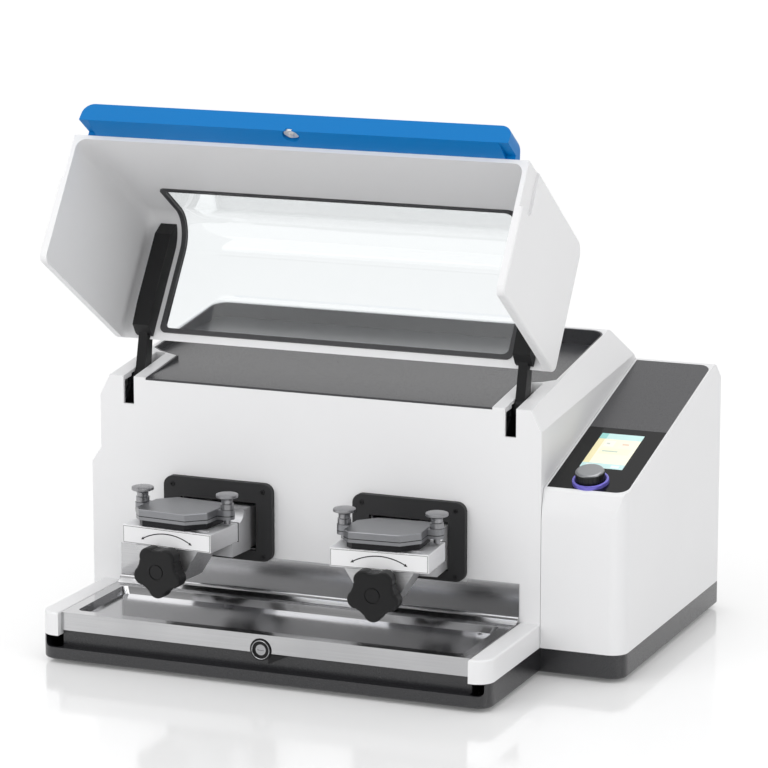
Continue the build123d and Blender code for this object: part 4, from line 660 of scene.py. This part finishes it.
# %% [markdown]
# The bright thread of each clamp spindle shows under its bar. A helix is a path with a rule, so a tree makes it: a
# spiral of constant radius, with a pitch of two millimetres, carries a small triangular profile. The spindle lies
# level but turned a little, so its length along its own axis is worked out from its box, less the width that the
# rod itself adds there. The thread rides on the star knob's body and turns with it.

# %% Spindle thread
THREAD_SHARP = 0.9
SPINDLE_D = 12 * MM
THREAD_FROM = 16 * MM
THREAD_SHORTER = 20 * MM


def thread_tree():
    tree, given = new_geometry_tree("helical_thread", {
        "Length": 50 * MM, "Pitch": 2 * MM, "Radius": 6 * MM, "Depth": 0.5 * MM, "Finish": polished_steel})
    turns = wire(tree, "ShaderNodeMath", {"operation": "DIVIDE"}, {0: given["Length"], 1: given["Pitch"]})
    helix = wire(tree, "GeometryNodeCurveSpiral", None, {
        "Resolution": 20, "Rotations": turns.outputs[0], "Start Radius": given["Radius"],
        "End Radius": given["Radius"], "Height": given["Length"]})
    crest = wire(tree, "GeometryNodeCurvePrimitiveCircle", {"mode": "RADIUS"},
                 {"Resolution": 3, "Radius": given["Depth"]})
    swept = wire(tree, "GeometryNodeCurveToMesh", None, {
        "Curve": helix.outputs["Curve"], "Profile Curve": crest.outputs["Curve"], "Fill Caps": True})
    placed = wire(tree, "GeometryNodeInstanceOnPoints", None, {
        "Points": given["Geometry"], "Instance": shaded(tree, swept.outputs["Mesh"], THREAD_SHARP)})
    real = wire(tree, "GeometryNodeRealizeInstances", None, {"Geometry": placed.outputs["Instances"]})
    dressed = wire(tree, "GeometryNodeSetMaterial", None, {
        "Geometry": real.outputs["Geometry"], "Material": given["Finish"]})
    wire(tree, "NodeGroupOutput", None, {"Geometry": dressed.outputs["Geometry"]})
    return tree


helical_thread = thread_tree()
for side in ("left", "right"):
    axis = Vector(joints[f"{side}_knob_turn"]["axis"]).normalized()
    low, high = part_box(f"{side}_clamp_spindle")
    along = (high.y - low.y - SPINDLE_D * abs(axis.x)) / axis.y
    start = (low + high) / 2 - axis * (along / 2 - THREAD_FROM)
    mesh = grown_mesh(f"{side}_spindle_thread", helical_thread, [(0, 0, 0)], {"Length": along - THREAD_SHORTER})
    turn = Vector((0, 0, 1)).rotation_difference(axis).to_matrix().to_4x4()
    mesh.transform(Matrix.Translation(start) @ turn)
    new_piece(f"{side}_spindle_thread", mesh, f"{side}_knob", "polished")
    print(side, "thread:", round((along - THREAD_SHORTER) / MM, 1), "mm")

# %% [markdown]
# A satin foil plate with a thin dark border covers the front of each clamp bar, and the curved double arrow on it
# says that the knob turns both ways. All of it is real geometry, a few tenths of a millimetre proud: the arrow is an
# arc of 66 mm radius, 70 mm wide, with a head at each end. The outlines are worked out flat, in millimetres across
# and up the bar, then extruded and set on the bar's front face. A thin black rubber plate behind the rear end of the
# bar, a little larger than the bar all round, shows as a thin dark line round it.

# %% Plates, arrows and rear rims on the clamp bars
BAR_DEPTH = 67 * MM
BAR_HALF = 60.75
ARROW_RADIUS = 66.0
ARROW_HALF = 35.0
ARROW_TOP = 6.0
ARROW_LINE = 0.65
ARROW_HEAD_L, ARROW_HEAD_HALF = 4.2, 1.9
ARROW_STEPS = 24
REAR_RIM_LAP = 0.35
REAR_RIM_T = 1.0
FOIL_MARGIN = 0.8
FOIL_INSET = 1.4
FOIL_LINE = 0.45
FOIL_PROUD = 0.2
INK_PROUD = 0.3
enamel = sparked_plastic("black_engraving_enamel", "#1c1c1d", "#181819", 0.5, 0.8, 0.1, 0.3)


def arrow_outline(height):
    sweep = math.asin(ARROW_HALF / ARROW_RADIUS)
    shaft = sweep - ARROW_HEAD_L / ARROW_RADIUS
    angles = [(-1 + 2 * i / ARROW_STEPS) * shaft for i in range(ARROW_STEPS + 1)]

    def at(angle, r):
        return (r * math.sin(angle), height - ARROW_TOP - ARROW_RADIUS + r * math.cos(angle))

    outer = [at(a, ARROW_RADIUS + ARROW_LINE) for a in angles]
    inner = [at(a, ARROW_RADIUS - ARROW_LINE) for a in angles]
    heads = [[at(way * shaft, ARROW_RADIUS + ARROW_HEAD_HALF), at(way * sweep, ARROW_RADIUS),
              at(way * shaft, ARROW_RADIUS - ARROW_HEAD_HALF)] for way in (-1, 1)]
    return outer, inner, heads


def raised_mesh(name, outlines, proud, place, turn, finish):
    work = bmesh.new()
    for corners in outlines:
        face = work.faces.new([work.verts.new((x * MM, 0, z * MM)) for x, z in corners])
        made = bmesh.ops.extrude_face_region(work, geom=[face])["geom"]
        raised = [item for item in made if isinstance(item, bmesh.types.BMVert)]
        bmesh.ops.translate(work, verts=raised, vec=(0, -proud * MM, 0))
    bmesh.ops.recalc_face_normals(work, faces=work.faces)
    bmesh.ops.transform(work, matrix=Matrix.Translation(place) @ turn, verts=work.verts)
    mesh = bpy.data.meshes.new(name)
    work.to_mesh(mesh)
    work.free()
    mesh.materials.append(finish)
    return mesh


def rectangle(x0, x1, z0, z1):
    return [(x0, z0), (x1, z0), (x1, z1), (x0, z1)]


def ink_outlines(half, height):
    outer, inner, heads = arrow_outline(height)
    arc = [[outer[i], outer[i + 1], inner[i + 1], inner[i]] for i in range(len(outer) - 1)]
    x, z0, z1 = half - FOIL_INSET, FOIL_INSET, height - FOIL_INSET
    border = [rectangle(-x, x, z0, z0 + FOIL_LINE), rectangle(-x, x, z1 - FOIL_LINE, z1),
              rectangle(-x, -x + FOIL_LINE, z0, z1), rectangle(x - FOIL_LINE, x, z0, z1)]
    return arc + heads + border


for side in ("left", "right"):
    axis = Vector(joints[f"{side}_clamp_slide"]["axis"]).normalized()
    low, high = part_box(f"{side}_clamp_carriage")
    height = (high.z - low.z) / MM
    front = (low + high) / 2 - axis * BAR_DEPTH / 2
    front.z = low.z
    turn = Matrix.Rotation(math.atan2(-axis.x, axis.y), 4, "Z")
    plate = rectangle(-BAR_HALF + FOIL_MARGIN, BAR_HALF - FOIL_MARGIN, FOIL_MARGIN, height - FOIL_MARGIN)
    foil = raised_mesh(f"{side}_bar_foil", [plate], FOIL_PROUD, front, turn, label_foil)
    new_piece(f"{side}_bar_foil", foil, f"{side}_clamp", "alloy")
    # a black rubber plate behind the bar's rear end, a little larger than the bar all round
    lap = rectangle(-BAR_HALF - REAR_RIM_LAP, BAR_HALF + REAR_RIM_LAP, -REAR_RIM_LAP, height + REAR_RIM_LAP)
    rear_rim = raised_mesh(f"{side}_bar_rear_rim", [lap], REAR_RIM_T, front + axis * BAR_DEPTH, turn, nitrile_rubber)
    new_piece(f"{side}_bar_rear_rim", rear_rim, f"{side}_clamp", "soft_rubber")
    ink = raised_mesh(f"{side}_turning_arrow", ink_outlines(BAR_HALF, height), INK_PROUD, front, turn, enamel)
    new_piece(f"{side}_turning_arrow", ink, f"{side}_clamp", "black_plastic")
    print(side, "arrow at", [round(v / MM, 1) for v in front])

# %% [markdown]
# The studio is a pale, slightly glossy floor in front of a white background. The floor adds a little of its own
# light to what the eye sees, directly or in gloss and glass, so it reads as white, keeps the soft shadow under the
# plinth, and shows a faint mirror image of it. That extra light falls on nothing else.

# %% Floor
FLOOR_GLOW = 0.1


def seen_by_eye(tree):
    path = wire(tree, "ShaderNodeLightPath")
    total = path.outputs["Is Camera Ray"]
    for label in ("Is Glossy Ray", "Is Transmission Ray"):
        total = wire(tree, "ShaderNodeMath", {"operation": "ADD", "use_clamp": True},
                     {0: total, 1: path.outputs[label]}).outputs[0]
    return total


def white_acrylic_floor():
    material, tree, place = new_material("white_studio_floor")
    cloud = wire(tree, "ShaderNodeTexNoise", None, {"Vector": place, "Scale": 2.0, "Detail": 1.0})
    spread = wire(tree, "ShaderNodeMapRange", None, {"Value": cloud.outputs["Fac"], "To Min": 0.08, "To Max": 0.12})
    skin = wire(tree, "ShaderNodeBsdfPrincipled", None,
                {"Base Color": linear("#ececec"), "Roughness": spread.outputs["Result"], "Specular IOR Level": 0.8})
    share = wire(tree, "ShaderNodeMath", {"operation": "MULTIPLY"}, {0: seen_by_eye(tree), 1: FLOOR_GLOW})
    glow = wire(tree, "ShaderNodeEmission", None, {"Color": (1, 1, 1, 1), "Strength": share.outputs[0]})
    close(tree, wire(tree, "ShaderNodeAddShader", None, {0: skin.outputs[0], 1: glow.outputs[0]}))
    return material


def flat_mesh(name, corners, material):
    mesh = bpy.data.meshes.new(name)
    mesh.from_pydata(corners, [], [range(len(corners))])
    piece = bpy.data.objects.new(name, mesh)
    mesh.materials.append(material)
    bpy.context.scene.collection.objects.link(piece)
    return piece


floor = flat_mesh("studio_floor", [(-30, -30, 0), (30, -30, 0), (30, 60, 0), (-30, 60, 0)], white_acrylic_floor())
floor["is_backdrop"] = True
print("floor:", [round(v) for v in floor.dimensions], "m")

# %% [markdown]
# The world is white to the eye, in glass and behind the object, and dimmer towards the front of the room, where a
# photographer's studio is dark but for a soft box on the left. Gloss on black plastic and steel depends on that: a
# surface that faces the front shows the dim side and stays deep, and one that looks back over the object shows the
# bright side. Ramps over the direction of the ray give this: one from left to right, one from front to back, and
# one that lights a bright panel in the ceiling, which draws the line along every rounded edge. Only glossy rays see
# these ramps, so they change no colour.

# %% World
ROOM_LEVEL = 0.98
SOFT_BOX, DIM_FRONT, BRIGHT_BACK, CEILING_PANEL = 0.9, 0.2, 1.0, 2.2
world = bpy.data.worlds.new("studio")
bpy.context.scene.world = world
world.use_nodes = True
sky = world.node_tree
sky.nodes.clear()
path = wire(sky, "ShaderNodeLightPath")
plain = wire(sky, "ShaderNodeMath", {"operation": "ADD", "use_clamp": True},
             {0: path.outputs["Is Camera Ray"], 1: path.outputs["Is Transmission Ray"]})
heading = wire(sky, "ShaderNodeSeparateXYZ", None, {0: wire(sky, "ShaderNodeTexCoord").outputs["Generated"]})


def ramp(axis, start, end, before, after):
    return wire(sky, "ShaderNodeMapRange", {"interpolation_type": "SMOOTHSTEP"},
                {"Value": heading.outputs[axis], "From Min": start, "From Max": end, "To Min": before,
                 "To Max": after}).outputs["Result"]


front_level = ramp("X", -0.48, -0.34, SOFT_BOX, DIM_FRONT)
room_level = ramp("Y", 0.1, 0.6, front_level, BRIGHT_BACK)
ceiling_level = ramp("Z", 0.72, 0.88, 0.0, CEILING_PANEL)
lit_room = wire(sky, "ShaderNodeMath", {"operation": "MAXIMUM"}, {0: room_level, 1: ceiling_level})
gloss = wire(sky, "ShaderNodeMix", {"data_type": "FLOAT"},
             {"Factor": path.outputs["Is Glossy Ray"], "A": ROOM_LEVEL, "B": lit_room.outputs[0]})
level = wire(sky, "ShaderNodeMix", {"data_type": "FLOAT"},
             {"Factor": plain.outputs[0], "A": gloss.outputs["Result"], "B": 1.0})
backdrop = wire(sky, "ShaderNodeBackground", None, {"Color": (1, 1, 1, 1), "Strength": level.outputs["Result"]})
wire(sky, "ShaderNodeOutputWorld", None, {"Surface": backdrop.outputs[0]})
print("world nodes:", len(sky.nodes))

# %% [markdown]
# Three square area lamps light the object: one high on the left, a stronger one low in front, and one on the right.
# A large lamp close by gives soft shadows. The first two are hidden from glossy rays, because their mirror images
# would lie as white patches in the tray and on the dark panels.

# %% Lamps
def soft_lamp(name, place, aim, size, power, mirrored):
    data = bpy.data.lights.new(name, "AREA")
    data.shape, data.size, data.energy = "SQUARE", size, power
    lamp = bpy.data.objects.new(name, data)
    lamp.location = place
    lamp.rotation_euler = (Vector(aim) - Vector(place)).to_track_quat("-Z", "Y").to_euler()
    lamp.visible_glossy = mirrored
    bpy.context.scene.collection.objects.link(lamp)


soft_lamp("key_lamp", (-1.8, -2.2, 3.0), (0, 0, 0.2), 2.4, 15, False)
soft_lamp("front_lamp", (-1.0, -3.6, 1.1), (0, 0, 0.15), 2.8, 34, False)
soft_lamp("fill_lamp", (3.2, -1.2, 1.8), (0, 0, 0.25), 1.8, 18, True)
bpy.context.scene.view_settings.view_transform = "Standard"
print("lamps:", len(bpy.data.lights))

# %% [markdown]
# The camera repeats the photograph's view: a long lens a little over four metres away, 22 degrees to the right of
# the front and 12 degrees above the horizon. So far away, parallel edges stay nearly parallel.

# %% Camera
FOCAL_LENGTH = 164.34
CAMERA_PLACE = (1.598, -3.8825, 1.1859)
LOOKING_DOWN = 11.722
TURNED_RIGHT = 22.369
lens = bpy.data.cameras.new("photo_lens")
lens.lens, lens.sensor_width = FOCAL_LENGTH, 36.0
lens.clip_start, lens.clip_end = 0.1, 100
camera = bpy.data.objects.new("photo_camera", lens)
camera.location = CAMERA_PLACE
camera.rotation_euler = (math.radians(90 - LOOKING_DOWN), 0, math.radians(TURNED_RIGHT))
bpy.context.scene.collection.objects.link(camera)
bpy.context.scene.camera = camera
print("camera:", round(Vector(CAMERA_PLACE).length, 2), "m from the middle of the base")

# %% [markdown]
# Last, the size of the box of everything that shows is printed, since what was added for the eye must not make the
# machine larger.

# %% Measure and finish
low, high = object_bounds()
print("visual size:", [round(v, 3) for v in high - low])
